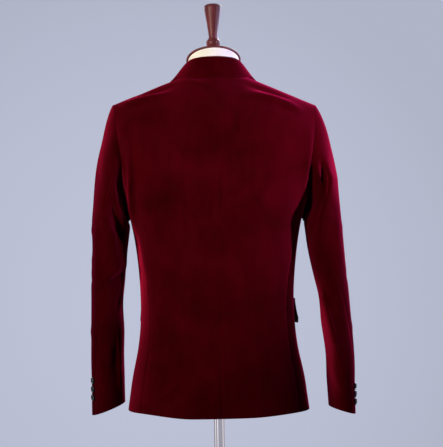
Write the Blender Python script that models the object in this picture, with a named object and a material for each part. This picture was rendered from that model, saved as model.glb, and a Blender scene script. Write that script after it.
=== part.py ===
"""A velvet blazer on a limbless dress form, built from the pieces that a tailor cuts.

Metres, +Z up. The origin is on the floor under the pole, the garment's front faces -Y and the wearer's
left is +X. Each cloth piece is a thin wall: a smooth surface over a small grid, and its copy one cloth
thickness inside.
"""
import math

import bmesh
import bpy
import numpy as np
from mathutils import Matrix, Vector


def table(columns, *rows):
    """A short table as one array for each named column."""
    return dict(zip(columns.split(), np.array(rows, dtype=float).T))


# Cloth walls, and the gaps at seams and under what is laid on a panel
CLOTH = 0.002
SEAM_GAP = 0.0003
SLEEVE_GAP = 0.0006
LAID_GAP = 0.0011

# Torso sections from the hem up, and the arch that carries them over to the shoulder line
TORSO = table(
    "z half_width back_depth front_depth squareness",
    (0.733, 0.1900, 0.128, 0.126, 2.30),
    (0.800, 0.1805, 0.124, 0.129, 2.30),
    (0.870, 0.1670, 0.112, 0.130, 2.30),
    (0.950, 0.1605, 0.098, 0.130, 2.30),
    (1.050, 0.1660, 0.100, 0.135, 2.35),
    (1.130, 0.1780, 0.110, 0.142, 2.45),
    (1.200, 0.1970, 0.118, 0.147, 2.70),
    (1.270, 0.2120, 0.121, 0.148, 2.90),
    (1.340, 0.2250, 0.121, 0.148, 3.00),
    (1.460, 0.2360, 0.118, 0.144, 3.00),
)
HEM_Z = 0.733
ARCH_Z = 1.165
ARCH_POWER = 2.5
NECK_POINT_X = 0.067
NECK_POINT_Z = 1.434
NECK_BACK_Y = 0.0535
SHOULDER_SLOPE = 0.392
RIGHT_SHOULDER_DROP = 0.005
RIGHT_DROP_START_X = 0.050
RIGHT_DROP_END_X = 0.215
RIGHT_DROP_FOOT_Z = 1.130

# Seams of the body panels: distance from the centre line at each height
BACK_SEAM = table(
    "z x",
    (0.733, 0.1630),
    (0.800, 0.1550),
    (0.890, 0.1430),
    (0.950, 0.1405),
    (1.010, 0.1460),
    (1.075, 0.1570),
    (1.125, 0.1680),
    (1.180, 0.1800),
    (1.250, 0.1940),
)
FRONT_SEAM = table(
    "z x",
    (0.733, 0.1650),
    (0.800, 0.1570),
    (0.870, 0.1470),
    (0.950, 0.1420),
    (1.050, 0.1480),
    (1.130, 0.1600),
    (1.215, 0.1830),
)
BACK_JOIN_Z = BACK_SEAM["z"][-1]
FRONT_JOIN_Z = FRONT_SEAM["z"][-1]

# Armhole: its edge on the back and the front from the side panel up to the shoulder, and under the arm
BACK_ARMHOLE = table("rise x", (0, 0.1940), (0.25, 0.2025), (0.5, 0.2075), (0.75, 0.2110), (1, 0.2130))
FRONT_ARMHOLE = table("rise x", (0, 0.1830), (0.25, 0.1890), (0.5, 0.1970), (0.75, 0.2060), (1, 0.2130))
UNDERARM = table("across z", (0, 1.250), (0.2, 1.205), (0.45, 1.170), (0.6, 1.167), (0.8, 1.180), (1, 1.215))

# Front edge below the button, then the lapel's roll line up to the neck
FRONT_EDGE = table(
    "z x",
    (0.733, 0.085),
    (0.742, 0.062),
    (0.760, 0.042),
    (0.790, 0.025),
    (0.840, 0.010),
    (0.900, -0.002),
    (0.960, -0.012),
    (1.005, -0.018),
)
BREAK_Z = FRONT_EDGE["z"][-1]
BREAK_X = FRONT_EDGE["x"][-1]
ROLL_BOW = 1.1
ROLL_PASSES = 8
LAP_INNER_X = 0.020
LAP_OUTER_X = 0.050
LAP_TUCK = 0.0028

# Lapels, laid on the fronts
LAPEL_FOOT_Z = {"left": 1.013, "right": 1.082}
LAPEL_TOP_Z = 1.4085
GORGE_DROP = 0.0475
LAPEL_FOOT_WIDTH = 0.006
LAPEL_TOP_WIDTH = 0.084
LAPEL_BELLY = 0.85
LAPEL_WRAP = 0.003
LAPEL_ROLL = 0.002

# Collar stations from the centre back to the lapel: the stand's foot, the fold, and the leaf's edge in plan
COLLAR = table(
    "station foot_x foot_y foot_z fold_x fold_y fold_z edge_x edge_y",
    (0, 0.0000, 0.0535, 1.4356, 0.0000, 0.0525, 1.4690, 0.0000, 0.0610),
    (1, 0.0465, 0.0386, 1.4312, 0.0395, 0.0365, 1.4670, 0.0510, 0.0430),
    (2, 0.0672, 0.0000, 1.4355, 0.0575, 0.0000, 1.4590, 0.0820, 0.0040),
    (3, 0.0660, -0.0375, 1.4290, 0.0635, -0.0330, 1.4405, 0.0980, -0.0380),
    (4, 0.0628, -0.0635, 1.4150, 0.0622, -0.0655, 1.4155, 0.1110, -0.0780),
)
COLLAR_END = COLLAR["station"][-1]
STAND_END = 3.4
COLLAR_LIFT = 0.0055
COLLAR_CREST = 0.006
COLLAR_SWELL = 0.001
COLLAR_DROP_SHARE = 0.45

# Sleeve cap at the shoulder and under the arm: the way it leaves the armhole, and the hold of its curve
# at the armhole and at the bicep as shares of the reach between them
SLEEVE_CAP = table(
    "under out down near far",
    (0, 0.50, 0.86, 0.20, 0.33),
    (1, 0.80, 0.60, 0.40, 0.40),
)
SLEEVE_CAP_SPREAD = 0.35
SEAM_BLEND = 1.6

# Sleeves: rings from the bicep to the cuff, with the cuff's tilt and the turn of the seams on the way down
LEFT_RINGS = table(
    "z centre_x centre_y half_width half_depth",
    (0.740, 0.2322, -0.036, 0.0352, 0.049),
    (0.767, 0.2320, -0.031, 0.0352, 0.050),
    (0.843, 0.2313, -0.016, 0.0347, 0.053),
    (0.905, 0.2303, -0.005, 0.0347, 0.057),
    (0.968, 0.2304, 0.003, 0.0336, 0.061),
    (1.019, 0.2273, 0.007, 0.0355, 0.064),
    (1.068, 0.2236, 0.009, 0.0369, 0.067),
    (1.118, 0.2200, 0.010, 0.0392, 0.070),
)
RIGHT_RINGS = table(
    "z centre_x centre_y half_width half_depth",
    (0.727, 0.2645, -0.037, 0.0285, 0.049),
    (0.785, 0.2612, -0.027, 0.0296, 0.051),
    (0.843, 0.2595, -0.016, 0.0299, 0.053),
    (0.912, 0.2508, -0.004, 0.0318, 0.057),
    (0.968, 0.2455, 0.003, 0.0313, 0.060),
    (1.013, 0.2378, 0.006, 0.0348, 0.063),
    (1.068, 0.2297, 0.009, 0.0373, 0.067),
    (1.118, 0.2240, 0.010, 0.0390, 0.070),
)
# Largest folds on the back of each sleeve: distance from the centre line and height of both ends
LEFT_FOLDS = table(
    "x0 z0 x1 z1 height width",
    (0.252, 1.143, 0.209, 1.092, 0.006, 0.012),
    (0.205, 1.080, 0.203, 1.050, 0.006, 0.012),
    (0.206, 1.040, 0.232, 1.012, 0.005, 0.012),
    (0.210, 1.190, 0.197, 1.130, 0.004, 0.010),
    (0.222, 1.165, 0.207, 1.115, -0.004, 0.010),
    (0.205, 0.972, 0.212, 0.867, -0.004, 0.010),
)
RIGHT_FOLDS = table(
    "x0 z0 x1 z1 height width",
    (0.224, 1.256, 0.236, 1.220, 0.004, 0.011),
    (0.236, 1.215, 0.226, 1.140, 0.006, 0.012),
    (0.225, 1.135, 0.206, 1.067, 0.006, 0.012),
    (0.217, 1.245, 0.219, 1.170, -0.004, 0.009),
    (0.217, 0.966, 0.243, 0.879, 0.005, 0.012),
    (0.244, 0.875, 0.262, 0.785, 0.004, 0.012),
)
FOLD_FADE_RATE = 2.0
FOLD_FADE_START = 0.4
FOLD_CAP_FADE = 0.33
SLEEVES = {
    "left": dict(
        side=1,
        rings=LEFT_RINGS,
        folds=LEFT_FOLDS,
        head_puff=-0.08,
        cuff_tilt=0.013,
        seam_turn=math.radians(55),
        button_angle=math.radians(30),
        button_z=(0.776, 0.793, 0.810),
    ),
    "right": dict(
        side=-1,
        rings=RIGHT_RINGS,
        folds=RIGHT_FOLDS,
        head_puff=0.18,
        cuff_tilt=0.0085,
        seam_turn=math.radians(78),
        button_angle=math.radians(30),
        button_z=(0.752, 0.768, 0.784),
    ),
}

# Pocket flaps, on the seam between side panel and front
FLAP_TOP_Z = 0.966
FLAP_BOTTOM_Z = 0.914
FLAP_BACK_ANGLE = {"left": math.radians(103), "right": math.radians(88)}
FLAP_SPREAD = math.radians(58)
FLAP_FLARE = {"left": 0.0015, "right": 0.005}
FLAP_FLARE_POWER = 1.5
FLAP_CORNER = 0.012
FLAP_CORNER_SHARE = 0.12

# Buttons
CUFF_BUTTON_RADIUS = 0.0072
FRONT_BUTTON_RADIUS = 0.0115
BUTTON_HEIGHT = 0.0034
CUFF_BUTTON_GAP = 0.0002
FRONT_BUTTON_GAP = 0.0006
FRONT_BUTTON_Z = 0.998
BUTTON_SHARES = ((0.70, 0.0), (1.00, 0.35), (1.00, 0.75), (0.86, 1.00), (0.66, 0.80))

# Dress form under the cloth, its neck, cap and finial, and the stand
FORM_BOTTOM_Z = 0.800
FORM_EDGE_ROUND = 0.006
FORM_FOOT_SHARE = 0.97
FORM_PLATE_X = 0.186
FORM_SIDE_EASE = 0.010
FORM_BACK_EASE = 0.008
FORM_FRONT_EASE = 0.014
FORM_SEAT_DROP = 0.0032
FORM_SHOULDER_SLOPE = 0.345
FORM_ARCH_Z = 1.310
FORM_TOP_Z = 1.424
NECK_BASE_Z = 1.431
NECK_TOP_Z = 1.467
NECK_CENTRE_Y = -0.006
NECK_BASE_HALF_WIDTH = 0.0590
NECK_HALF_WIDTH = 0.0535
NECK_HALF_DEPTH = 0.052
NECK_SHARES = (0, 0.25, 0.6, 1)
NECK_TILT = math.radians(24)
CAP_RADIUS = 0.0575
CAP_HEIGHT = 0.006
FINIAL_PROFILE = (
    (0.0120, 0.000),
    (0.0120, 0.022),
    (0.0145, 0.029),
    (0.0145, 0.035),
    (0.0095, 0.042),
    (0.0100, 0.050),
    (0.0125, 0.068),
    (0.0165, 0.092),
    (0.0182, 0.103),
    (0.0172, 0.110),
    (0.0110, 0.1135),
)
POLE_RADIUS = 0.011
BASE_PROFILE = (
    (0.1700, 0.000),
    (0.1700, 0.006),
    (0.1660, 0.010),
    (0.0900, 0.014),
    (0.0300, 0.018),
    (0.0260, 0.030),
    (0.0220, 0.032),
)

# Colour, roughness and metal of each material
MATERIALS = {
    "velvet": ((0.09, 0.002, 0.012), 0.9, 0.0),
    "button_black": ((0.01, 0.01, 0.012), 0.25, 0.0),
    "form_white": ((0.82, 0.81, 0.80), 0.85, 0.0),
    "dark_wood": ((0.07, 0.03, 0.018), 0.45, 0.0),
    "chrome": ((0.75, 0.76, 0.78), 0.15, 1.0),
    "base_black": ((0.02, 0.02, 0.022), 0.5, 0.3),
}

# Grid sizes
PANEL_ROWS = 13
SHOULDER_ROWS = 7
BACK_COLUMNS = 9
SIDE_COLUMNS = 6
FRONT_COLUMNS = 8
CAP_ROWS = 7
TUBE_ROWS = 15
LAPEL_COLUMNS = 5
LAPEL_ROWS = 14
FLAP_COLUMNS = 10
FLAP_ROWS = 3
COLLAR_COLUMNS = 24
STAND_ROWS = 2
LEAF_ROWS = 7
ROW_CROWDING = 1.3
FORM_COLUMNS = 32
FORM_LOWER_ROWS = 9
FORM_UPPER_ROWS = 9
BUTTON_SEGMENTS = 14
NECK_CAP_SEGMENTS = 32
FINIAL_SEGMENTS = 18
POLE_SEGMENTS = 24
BASE_SEGMENTS = 36
SHARP_ANGLE = math.radians(40)
STEP = 1e-3


def curve(xs, ys, x):
    """Cubic curve through the points of a table, with each slope taken across the neighbouring points."""
    slopes = np.gradient(ys, xs)
    i = np.clip(np.searchsorted(xs, x) - 1, 0, len(xs) - 2)
    width = xs[i + 1] - xs[i]
    t = (x - xs[i]) / width
    start = ys[i] * (1 + 2 * t) * (1 - t) ** 2 + slopes[i] * width * t * (1 - t) ** 2
    end = ys[i + 1] * (3 - 2 * t) * t**2 + slopes[i + 1] * width * (t - 1) * t**2
    return start + end


def column(values, name, at, key="z"):
    return curve(values[key], values[name], at)


def ease(t):
    """Smooth step from 0 to 1."""
    t = np.clip(t, 0, 1)
    return t * t * (3 - 2 * t)


def stack(x, y, z):
    return np.stack(np.broadcast_arrays(x, y, z), axis=-1)


def unit(vectors):
    return vectors / np.linalg.norm(vectors, axis=-1, keepdims=True)


def bezier(begin, near, far, end, t):
    return begin * (1 - t) ** 3 + 3 * near * t * (1 - t) ** 2 + 3 * far * t**2 * (1 - t) + end * t**3


def shoulder_z(x):
    return NECK_POINT_Z - SHOULDER_SLOPE * (np.abs(x) - NECK_POINT_X)


def section_depth(x, z, face, ease_in=0.0):
    """Depth of a torso section at x, before the shoulder arch."""
    half_width = column(TORSO, "half_width", z) - ease_in
    depth = column(TORSO, face, z) - ease_in
    power = column(TORSO, "squareness", z)
    return depth * np.maximum(1 - (np.abs(x) / half_width) ** power, 0) ** (1 / power)


def form_shoulder_z(x):
    """Shoulder line of the dress form, which carries the cloth near the shoulder tips."""
    seat = shoulder_z(FORM_PLATE_X) - FORM_SEAT_DROP
    return seat + FORM_SHOULDER_SLOPE * (FORM_PLATE_X - np.abs(x))


def arch_turn(x, z, line=shoulder_z):
    """Angle up the shoulder arch of the point of a section at this height."""
    rise = np.clip((z - ARCH_Z) / (line(x) - ARCH_Z), 0, 1)
    return np.arcsin(rise ** (ARCH_POWER / 2))


def torso_y(x, z, face):
    sign = 1 if face == "back_depth" else -1
    return sign * section_depth(x, z, face) * np.cos(arch_turn(x, z))


def over_arch(x, turn, face):
    """Point of the torso at x, at an angle up the shoulder arch."""
    sign = 1 if face == "back_depth" else -1
    z = ARCH_Z + np.abs(np.sin(turn)) ** (2 / ARCH_POWER) * (shoulder_z(x) - ARCH_Z)
    return stack(x, sign * section_depth(x, z, face) * np.cos(turn), z)


def torso_ring(angle, z):
    """Point of the torso at an angle round its axis: 0 at the centre back, 90 degrees at the side."""
    half_width = column(TORSO, "half_width", z)
    depth = np.where(np.cos(angle) > 0, column(TORSO, "back_depth", z), column(TORSO, "front_depth", z))
    power = column(TORSO, "squareness", z)
    across = (np.abs(np.sin(angle)) / half_width) ** power
    along = (np.abs(np.cos(angle)) / depth) ** power
    radius = (across + along) ** (-1 / power)
    x = radius * np.sin(angle)
    return stack(x, radius * np.cos(angle) * np.cos(arch_turn(x, z)), z)


def shoulder_top(x, y):
    """Height of the torso's upper side at a place in plan."""
    back = section_depth(x, NECK_POINT_Z, "back_depth")
    front = section_depth(x, NECK_POINT_Z, "front_depth")
    share = np.clip(np.abs(y) / np.where(y > 0, back, front), 0, 1)
    return ARCH_Z + (1 - share**2) ** (1 / ARCH_POWER) * (shoulder_z(x) - ARCH_Z)


def front_face(x, z):
    return stack(x, torso_y(x, z, "front_depth"), z)


def roll_x(z):
    """Roll line of the lapel, from the break to the neck point."""
    rise = np.clip((z - BREAK_Z) / (NECK_POINT_Z - BREAK_Z), 0, 1)
    return BREAK_X + (NECK_POINT_X - BREAK_X) * rise**ROLL_BOW


def front_edge_x(z):
    return np.where(z < BREAK_Z, column(FRONT_EDGE, "x", z), roll_x(z))


def back_panel(across, up):
    """Back panel: across from the centre seam out, up 0 to 1 to the armhole, then to 2 over the shoulder."""
    z = HEM_Z + np.minimum(up, 1) * (BACK_JOIN_Z - HEM_Z)
    x = across * column(BACK_SEAM, "x", z)
    lower = stack(x, torso_y(x, z, "back_depth"), z)
    rise = np.maximum(up - 1, 0)
    x = across * column(BACK_ARMHOLE, "x", rise, "rise")
    neck_y = NECK_BACK_Y * np.sqrt(np.maximum(1 - (x / NECK_POINT_X) ** 2, 0))
    end = np.arccos(neck_y / section_depth(x, NECK_POINT_Z, "back_depth"))
    start = arch_turn(x, BACK_JOIN_Z)
    upper = over_arch(x, start + rise * (end - start), "back_depth")
    return np.where((up <= 1)[..., None], lower, upper)


def front_panel(across, up):
    """Front panel: across from the side to the front edge, up as on the back."""
    z = HEM_Z + np.minimum(up, 1) * (FRONT_JOIN_Z - HEM_Z)
    outer = column(FRONT_SEAM, "x", z)
    x = outer + across * (front_edge_x(z) - outer)
    lower = front_face(x, z)
    rise = np.maximum(up - 1, 0)

    def turn(x):
        start = arch_turn(x, FRONT_JOIN_Z)
        return start + rise * (math.pi / 2 - start)

    inner = np.full_like(rise, NECK_POINT_X)
    for _ in range(ROLL_PASSES):
        inner = roll_x(over_arch(inner, turn(inner), "front_depth")[..., 2])
    outer = column(FRONT_ARMHOLE, "x", rise, "rise")
    x = outer + across * (inner - outer)
    upper = over_arch(x, turn(x), "front_depth")
    return np.where((up <= 1)[..., None], lower, upper)


def side_panel(across, up):
    """Side panel: across from the back seam to the front seam, up from the hem to the underarm."""
    z = HEM_Z + up * (column(UNDERARM, "z", across, "across") - HEM_Z)
    back_x = column(BACK_SEAM, "x", z)
    front_x = column(FRONT_SEAM, "x", z)
    start = np.arctan2(back_x, section_depth(back_x, z, "back_depth"))
    end = math.pi - np.arctan2(front_x, section_depth(front_x, z, "front_depth"))
    return torso_ring(start + across * (end - start), z)


# The armhole as one loop: down the back edge, under the arm, up the front edge
LOOP_BACK = SHOULDER_ROWS
LOOP_UNDER = LOOP_BACK + SIDE_COLUMNS
LOOP_END = LOOP_UNDER + SHOULDER_ROWS
FOREARM_SEAM = LOOP_UNDER + 2
LOOP_DETAIL = 12


def on_armhole(loop, of_back, of_side, of_front):
    """Value along the armhole loop, taken from the panel that has that stretch of it."""
    loop = np.mod(loop, LOOP_END)
    one = np.ones_like(loop)
    back = of_back(one, 2 - np.minimum(loop, LOOP_BACK) / SHOULDER_ROWS)
    side = of_side(np.clip((loop - LOOP_BACK) / SIDE_COLUMNS, 0, 1), one)
    front = of_front(0 * one, 1 + np.maximum(loop - LOOP_UNDER, 0) / SHOULDER_ROWS)
    below = np.where((loop < LOOP_UNDER)[..., None], side, front)
    return np.where((loop < LOOP_BACK)[..., None], back, below)


def armhole(loop):
    return on_armhole(loop, back_panel, side_panel, front_panel)


LOOP_SAMPLES = np.linspace(0, LOOP_END, LOOP_DETAIL * LOOP_END + 1)
LOOP_LENGTHS = np.cumsum(np.linalg.norm(np.diff(armhole(LOOP_SAMPLES), axis=0), axis=1))
LOOP_ANGLES = np.concatenate([[0], LOOP_LENGTHS / LOOP_LENGTHS[-1] * 2 * math.pi])


def ring_angle(loop):
    """Angle round the sleeve: 0 at its outer side, 90 degrees at its back."""
    turns = np.floor(loop / LOOP_END)
    return np.interp(loop - turns * LOOP_END, LOOP_SAMPLES, LOOP_ANGLES) + turns * 2 * math.pi


def tube(sleeve, loop, along):
    """Sleeve below the bicep: along from 0 at the bicep ring to 1 at the cuff."""
    rings = sleeve["rings"]
    z = rings["z"][-1] + along * (rings["z"][0] - rings["z"][-1])
    angle = ring_angle(loop) - sleeve["seam_turn"] * ease(along)
    x = column(rings, "centre_x", z) + column(rings, "half_width", z) * np.cos(angle)
    y = column(rings, "centre_y", z) + column(rings, "half_depth", z) * np.sin(angle)
    return stack(x, y, z - sleeve["cuff_tilt"] * ease(2 * along - 1) * np.cos(angle))


def fold_height(folds, points, angle):
    """Height of the folds on the back of a sleeve, each a soft ridge or trough that fades at its ends."""
    height = np.zeros(points.shape[:-1])
    for x0, z0, x1, z1, rise, width in zip(*(folds[name] for name in folds)):
        run = np.array([x1 - x0, z1 - z0])
        offset = points[..., [0, 2]] - (x0, z0)
        share = np.clip(offset @ run / (run @ run), 0, 1)
        away = np.linalg.norm(offset - share[..., None] * run, axis=-1)
        height += rise * np.exp(-((away / width) ** 2))
    return height * ease(FOLD_FADE_RATE * np.sin(angle) + FOLD_FADE_START)


def sleeve_axis(rings, points):
    """Middle of the sleeve at the height of each point."""
    z = np.clip(points[..., 2], rings["z"][0], rings["z"][-1])
    return stack(column(rings, "centre_x", z), column(rings, "centre_y", z), points[..., 2])


def sleeve_surface(sleeve):
    """Whole sleeve: loop round the armhole, along 0 to 1 over the cap, then to 2 down to the cuff."""
    rings = sleeve["rings"]

    def surface(loop, along):
        angle = ring_angle(loop)
        under = np.sin(angle / 2) ** 2
        cap = {name: np.interp(under, SLEEVE_CAP["under"], SLEEVE_CAP[name]) for name in SLEEVE_CAP}
        out = cap["out"] + sleeve["head_puff"] * (1 - under)
        leave = unit(stack(out, SLEEVE_CAP_SPREAD * np.sin(angle), -cap["down"]))
        begin = armhole(loop) + leave * SLEEVE_GAP
        bicep = tube(sleeve, loop, np.zeros_like(along))
        arrive = unit(tube(sleeve, loop, np.full_like(along, STEP)) - bicep)
        reach = np.linalg.norm(bicep - begin, axis=-1, keepdims=True)
        t = np.minimum(along, 1)[..., None]
        near = begin + leave * reach * cap["near"][..., None]
        far = bicep - arrive * reach * cap["far"][..., None]
        upper = bezier(begin, near, far, bicep, t)
        lower = tube(sleeve, loop, np.maximum(along - 1, 0))
        points = np.where((along <= 1)[..., None], upper, lower)
        outward = points - sleeve_axis(rings, points)
        facing = np.arctan2(outward[..., 1], outward[..., 0])
        height = fold_height(sleeve["folds"], points, facing) * ease(along / FOLD_CAP_FADE)
        return points + unit(outward) * height[..., None]

    return surface


def lapel_surface(name):
    """Lapel: across from the roll line to its outer edge, up from its foot to the gorge."""
    foot = LAPEL_FOOT_Z[name]
    break_foot = LAPEL_FOOT_Z["left"]

    def surface(across, up):
        level = foot + up * (LAPEL_TOP_Z - foot)
        z = level - GORGE_DROP * across * up
        inner = roll_x(z) - LAPEL_WRAP
        share = (level - break_foot) / (LAPEL_TOP_Z - break_foot)
        width = LAPEL_FOOT_WIDTH + (LAPEL_TOP_WIDTH - LAPEL_FOOT_WIDTH) * np.maximum(share, 0) ** LAPEL_BELLY
        outer = inner + width
        if name == "right":
            inner = np.maximum(inner, LAPEL_ROLL - inner)
        return front_face(inner + across * (outer - inner), z)

    return surface


def flap_surface(back_angle):
    """Pocket flap: across from its back end to its front end, up from its rounded lower edge."""

    def surface(across, up):
        corner = np.minimum(np.minimum(across, 1 - across) / FLAP_CORNER_SHARE, 1)
        bottom = FLAP_BOTTOM_Z + FLAP_CORNER * (1 - np.sqrt(np.clip(corner * (2 - corner), 0, 1)))
        z = bottom + up * (FLAP_TOP_Z - bottom)
        return torso_ring(back_angle + across * FLAP_SPREAD, z)

    return surface


def collar_station(station, name):
    """A line of the collar, mirrored behind the centre back."""
    both = np.concatenate([-COLLAR["station"][:0:-1], COLLAR["station"]])
    sign = -1 if name.endswith("_x") else 1
    values = np.concatenate([sign * COLLAR[name][:0:-1], COLLAR[name]])
    return curve(both, values, station)


def collar_line(station, name):
    return stack(*(collar_station(station, f"{name}_{axis}") for axis in "xyz"))


def stand_surface(across, up):
    """Collar stand: across is the station round the neck, up from its foot to the fold."""
    foot = collar_line(across, "foot")
    return foot + up[..., None] * (collar_line(across, "fold") - foot)


def leaf_surface(across, up):
    """Collar leaf: across is the station round the neck, up from the fold over and down to its edge."""
    fold = collar_line(across, "fold")
    edge_x = collar_station(across, "edge_x")
    edge_y = collar_station(across, "edge_y")
    edge = stack(edge_x, edge_y, shoulder_top(edge_x, edge_y) + COLLAR_LIFT)
    away = unit((edge - fold) * (1, 1, 0))
    begin = fold + (0, 0, CLOTH + LAID_GAP)
    near = begin + away * COLLAR_CREST
    far = edge + COLLAR_DROP_SHARE * (fold - edge) + away * COLLAR_SWELL
    return bezier(begin, near, far, edge, up[..., None])


def normals_of(surface, across, up):
    along = surface(across + STEP, up) - surface(across - STEP, up)
    rising = surface(across, up + STEP) - surface(across, up - STEP)
    return unit(np.cross(along, rising))


def trim(points, edges):
    """Draw the named edges of a grid back from their seams."""
    views = {"start": points, "end": points[:, ::-1], "top": points[::-1].swapaxes(0, 1)}
    for edge in edges.split():
        view = views[edge]
        view[:, 0] += unit(view[:, 1] - view[:, 0]) * SEAM_GAP / 2


def material(name, colour, roughness, metallic):
    made = bpy.data.materials.new(name)
    made.use_nodes = True
    shader = made.node_tree.nodes["Principled BSDF"]
    shader.inputs["Base Color"].default_value = (*colour, 1)
    shader.inputs["Roughness"].default_value = roughness
    shader.inputs["Metallic"].default_value = metallic
    return made


def settle(mesh_data):
    """Lower the right shoulder a little, the cloth and the form under it alike."""
    for vert in mesh_data.verts:
        reach = (-vert.co.x - RIGHT_DROP_START_X) / (RIGHT_DROP_END_X - RIGHT_DROP_START_X)
        rise = (vert.co.z - RIGHT_DROP_FOOT_Z) / (shoulder_z(RIGHT_DROP_END_X) - RIGHT_DROP_FOOT_Z)
        vert.co.z -= RIGHT_SHOULDER_DROP * min(max(reach, 0), 1) * ease(rise)


def finish(name, mesh_data, made_of):
    """Put a closed mesh in the scene, its faces outward and its round faces smooth."""
    settle(mesh_data)
    bmesh.ops.recalc_face_normals(mesh_data, faces=mesh_data.faces)
    mesh = bpy.data.meshes.new(name)
    mesh_data.to_mesh(mesh)
    mesh_data.free()
    mesh.shade_smooth()
    mesh.set_sharp_from_angle(angle=SHARP_ANGLE)
    mesh.materials.append(made_of)
    piece = bpy.data.objects.new(name, mesh)
    bpy.context.scene.collection.objects.link(piece)


def solid_of_rings(rings):
    """Mesh through rings of points, closed at both ends."""
    mesh_data = bmesh.new()
    rows = [[mesh_data.verts.new(point) for point in ring] for ring in rings]
    for lower, upper in zip(rows, rows[1:]):
        for i in range(len(lower)):
            mesh_data.faces.new((lower[i - 1], lower[i], upper[i], upper[i - 1]))
    mesh_data.faces.new(rows[0])
    mesh_data.faces.new(rows[-1])
    return mesh_data


def cloth_wall(name, made_of, outer, normals, side):
    """Closed wall between a grid of points and its copy one thickness inside."""
    mirror = np.array((side, 1, 1))
    inner = outer - normals * CLOTH
    mesh_data = bmesh.new()
    sheets = []
    for points in (outer * mirror, inner * mirror):
        sheets.append([[mesh_data.verts.new(point) for point in row] for row in points])
    rows = len(sheets[0])
    columns = len(sheets[0][0])
    for sheet in sheets:
        for i in range(rows - 1):
            for j in range(columns - 1):
                mesh_data.faces.new((sheet[i][j], sheet[i][j + 1], sheet[i + 1][j + 1], sheet[i + 1][j]))
    border = [(0, j) for j in range(columns)] + [(i, columns - 1) for i in range(1, rows)]
    border += [(rows - 1, j) for j in range(columns - 2, -1, -1)] + [(i, 0) for i in range(rows - 2, 0, -1)]
    for first, last in map(sorted, zip(border, border[1:] + border[:1])):
        (i, j), (k, m) = first, last
        mesh_data.faces.new((sheets[0][i][j], sheets[0][k][m], sheets[1][k][m]))
        mesh_data.faces.new((sheets[0][i][j], sheets[1][k][m], sheets[1][i][j]))
    finish(name, mesh_data, made_of)


def cloth_panel(name, made_of, surface, across, up, side=1, trims="", lift=None):
    """Cloth wall on a surface that goes round the torso's axis; lift moves its outer side out."""
    across, up = np.meshgrid(across, up)
    points = surface(across, up)
    normals = normals_of(surface, across, up)
    normals *= np.sign((points[..., :2] * normals[..., :2]).sum())
    points = points.copy()
    trim(points, trims)
    if lift:
        points = points + normals * lift(points, across, up)[..., None]
    cloth_wall(name, made_of, points, normals, side)


def turned(name, made_of, profile, segments, place=Matrix(), shape=None):
    """Piece turned about its own Z axis from (radius, height) pairs."""
    rings = []
    angles = np.linspace(0, 2 * math.pi, segments, endpoint=False)
    for radius, height in profile:
        rings.append(stack(radius * np.cos(angles), radius * np.sin(angles), height))
    if shape:
        shape(rings)
    mesh_data = solid_of_rings(rings)
    mesh_data.transform(place)
    finish(name, mesh_data, made_of)


def button(name, made_of, point, normal, radius, gap):
    """Low turned button with a rim, its back just off the cloth."""
    profile = [(share * radius, rise * BUTTON_HEIGHT) for share, rise in BUTTON_SHARES]
    seat = Vector(point) + Vector(normal) * gap
    turn = Vector((0, 0, 1)).rotation_difference(Vector(normal)).to_matrix().to_4x4()
    turned(name, made_of, profile, BUTTON_SEGMENTS, Matrix.Translation(seat) @ turn)


def build_body(velvet):
    rows = np.linspace(0, 1, PANEL_ROWS + 1) ** ROW_CROWDING
    all_rows = np.concatenate([rows, 1 + np.linspace(0, 1, SHOULDER_ROWS + 1)[1:]])
    neck_share = NECK_POINT_X / BACK_ARMHOLE["x"][-1]
    neck_columns = BACK_COLUMNS // 3
    back_across = np.concatenate(
        [
            np.linspace(0, neck_share, neck_columns + 1),
            np.linspace(neck_share, 1, BACK_COLUMNS - neck_columns + 1)[1:],
        ]
    )
    side_across = np.linspace(0, 1, SIDE_COLUMNS + 1)
    front_across = np.linspace(0, 1, FRONT_COLUMNS + 1)

    def tuck(points, across, up):
        return -LAP_TUCK * ease((LAP_OUTER_X - points[..., 0]) / (LAP_OUTER_X - LAP_INNER_X))

    for name, side in (("left", 1), ("right", -1)):
        cloth_panel(f"back_{name}", velvet, back_panel, back_across, all_rows, side, "start end top")
        cloth_panel(f"side_{name}", velvet, side_panel, side_across, rows, side, "start end top")
        lift = tuck if side < 0 else None
        cloth_panel(f"front_{name}", velvet, front_panel, front_across, all_rows, side, "start top", lift)


def build_lapels(velvet):
    def lift(points, across, up):
        return LAID_GAP + CLOTH + LAPEL_ROLL * (1 - across) ** 2

    across = np.linspace(0, 1, LAPEL_COLUMNS + 1)
    up = np.linspace(0, 1, LAPEL_ROWS + 1)
    for name, side in (("left", 1), ("right", -1)):
        cloth_panel(f"lapel_{name}", velvet, lapel_surface(name), across, up, side, lift=lift)


def build_flaps(velvet):
    across = np.sin(np.linspace(0, math.pi / 2, FLAP_COLUMNS + 1)) ** 2
    up = np.linspace(0, 1, FLAP_ROWS + 1)
    for name, side in (("left", 1), ("right", -1)):

        def lift(points, across, up, flare=FLAP_FLARE[name]):
            return LAID_GAP + CLOTH + flare * (1 - up) ** FLAP_FLARE_POWER

        cloth_panel(f"flap_{name}", velvet, flap_surface(FLAP_BACK_ANGLE[name]), across, up, side, lift=lift)


def build_collar(velvet):
    stand = np.linspace(-STAND_END, STAND_END, COLLAR_COLUMNS + 1)
    leaf = np.linspace(-COLLAR_END, COLLAR_END, COLLAR_COLUMNS + 1)
    cloth_panel("collar_stand", velvet, stand_surface, stand, np.linspace(0, 1, STAND_ROWS + 1))
    cloth_panel("collar", velvet, leaf_surface, leaf, np.linspace(0, 1, LEAF_ROWS + 1) ** ROW_CROWDING)


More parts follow.
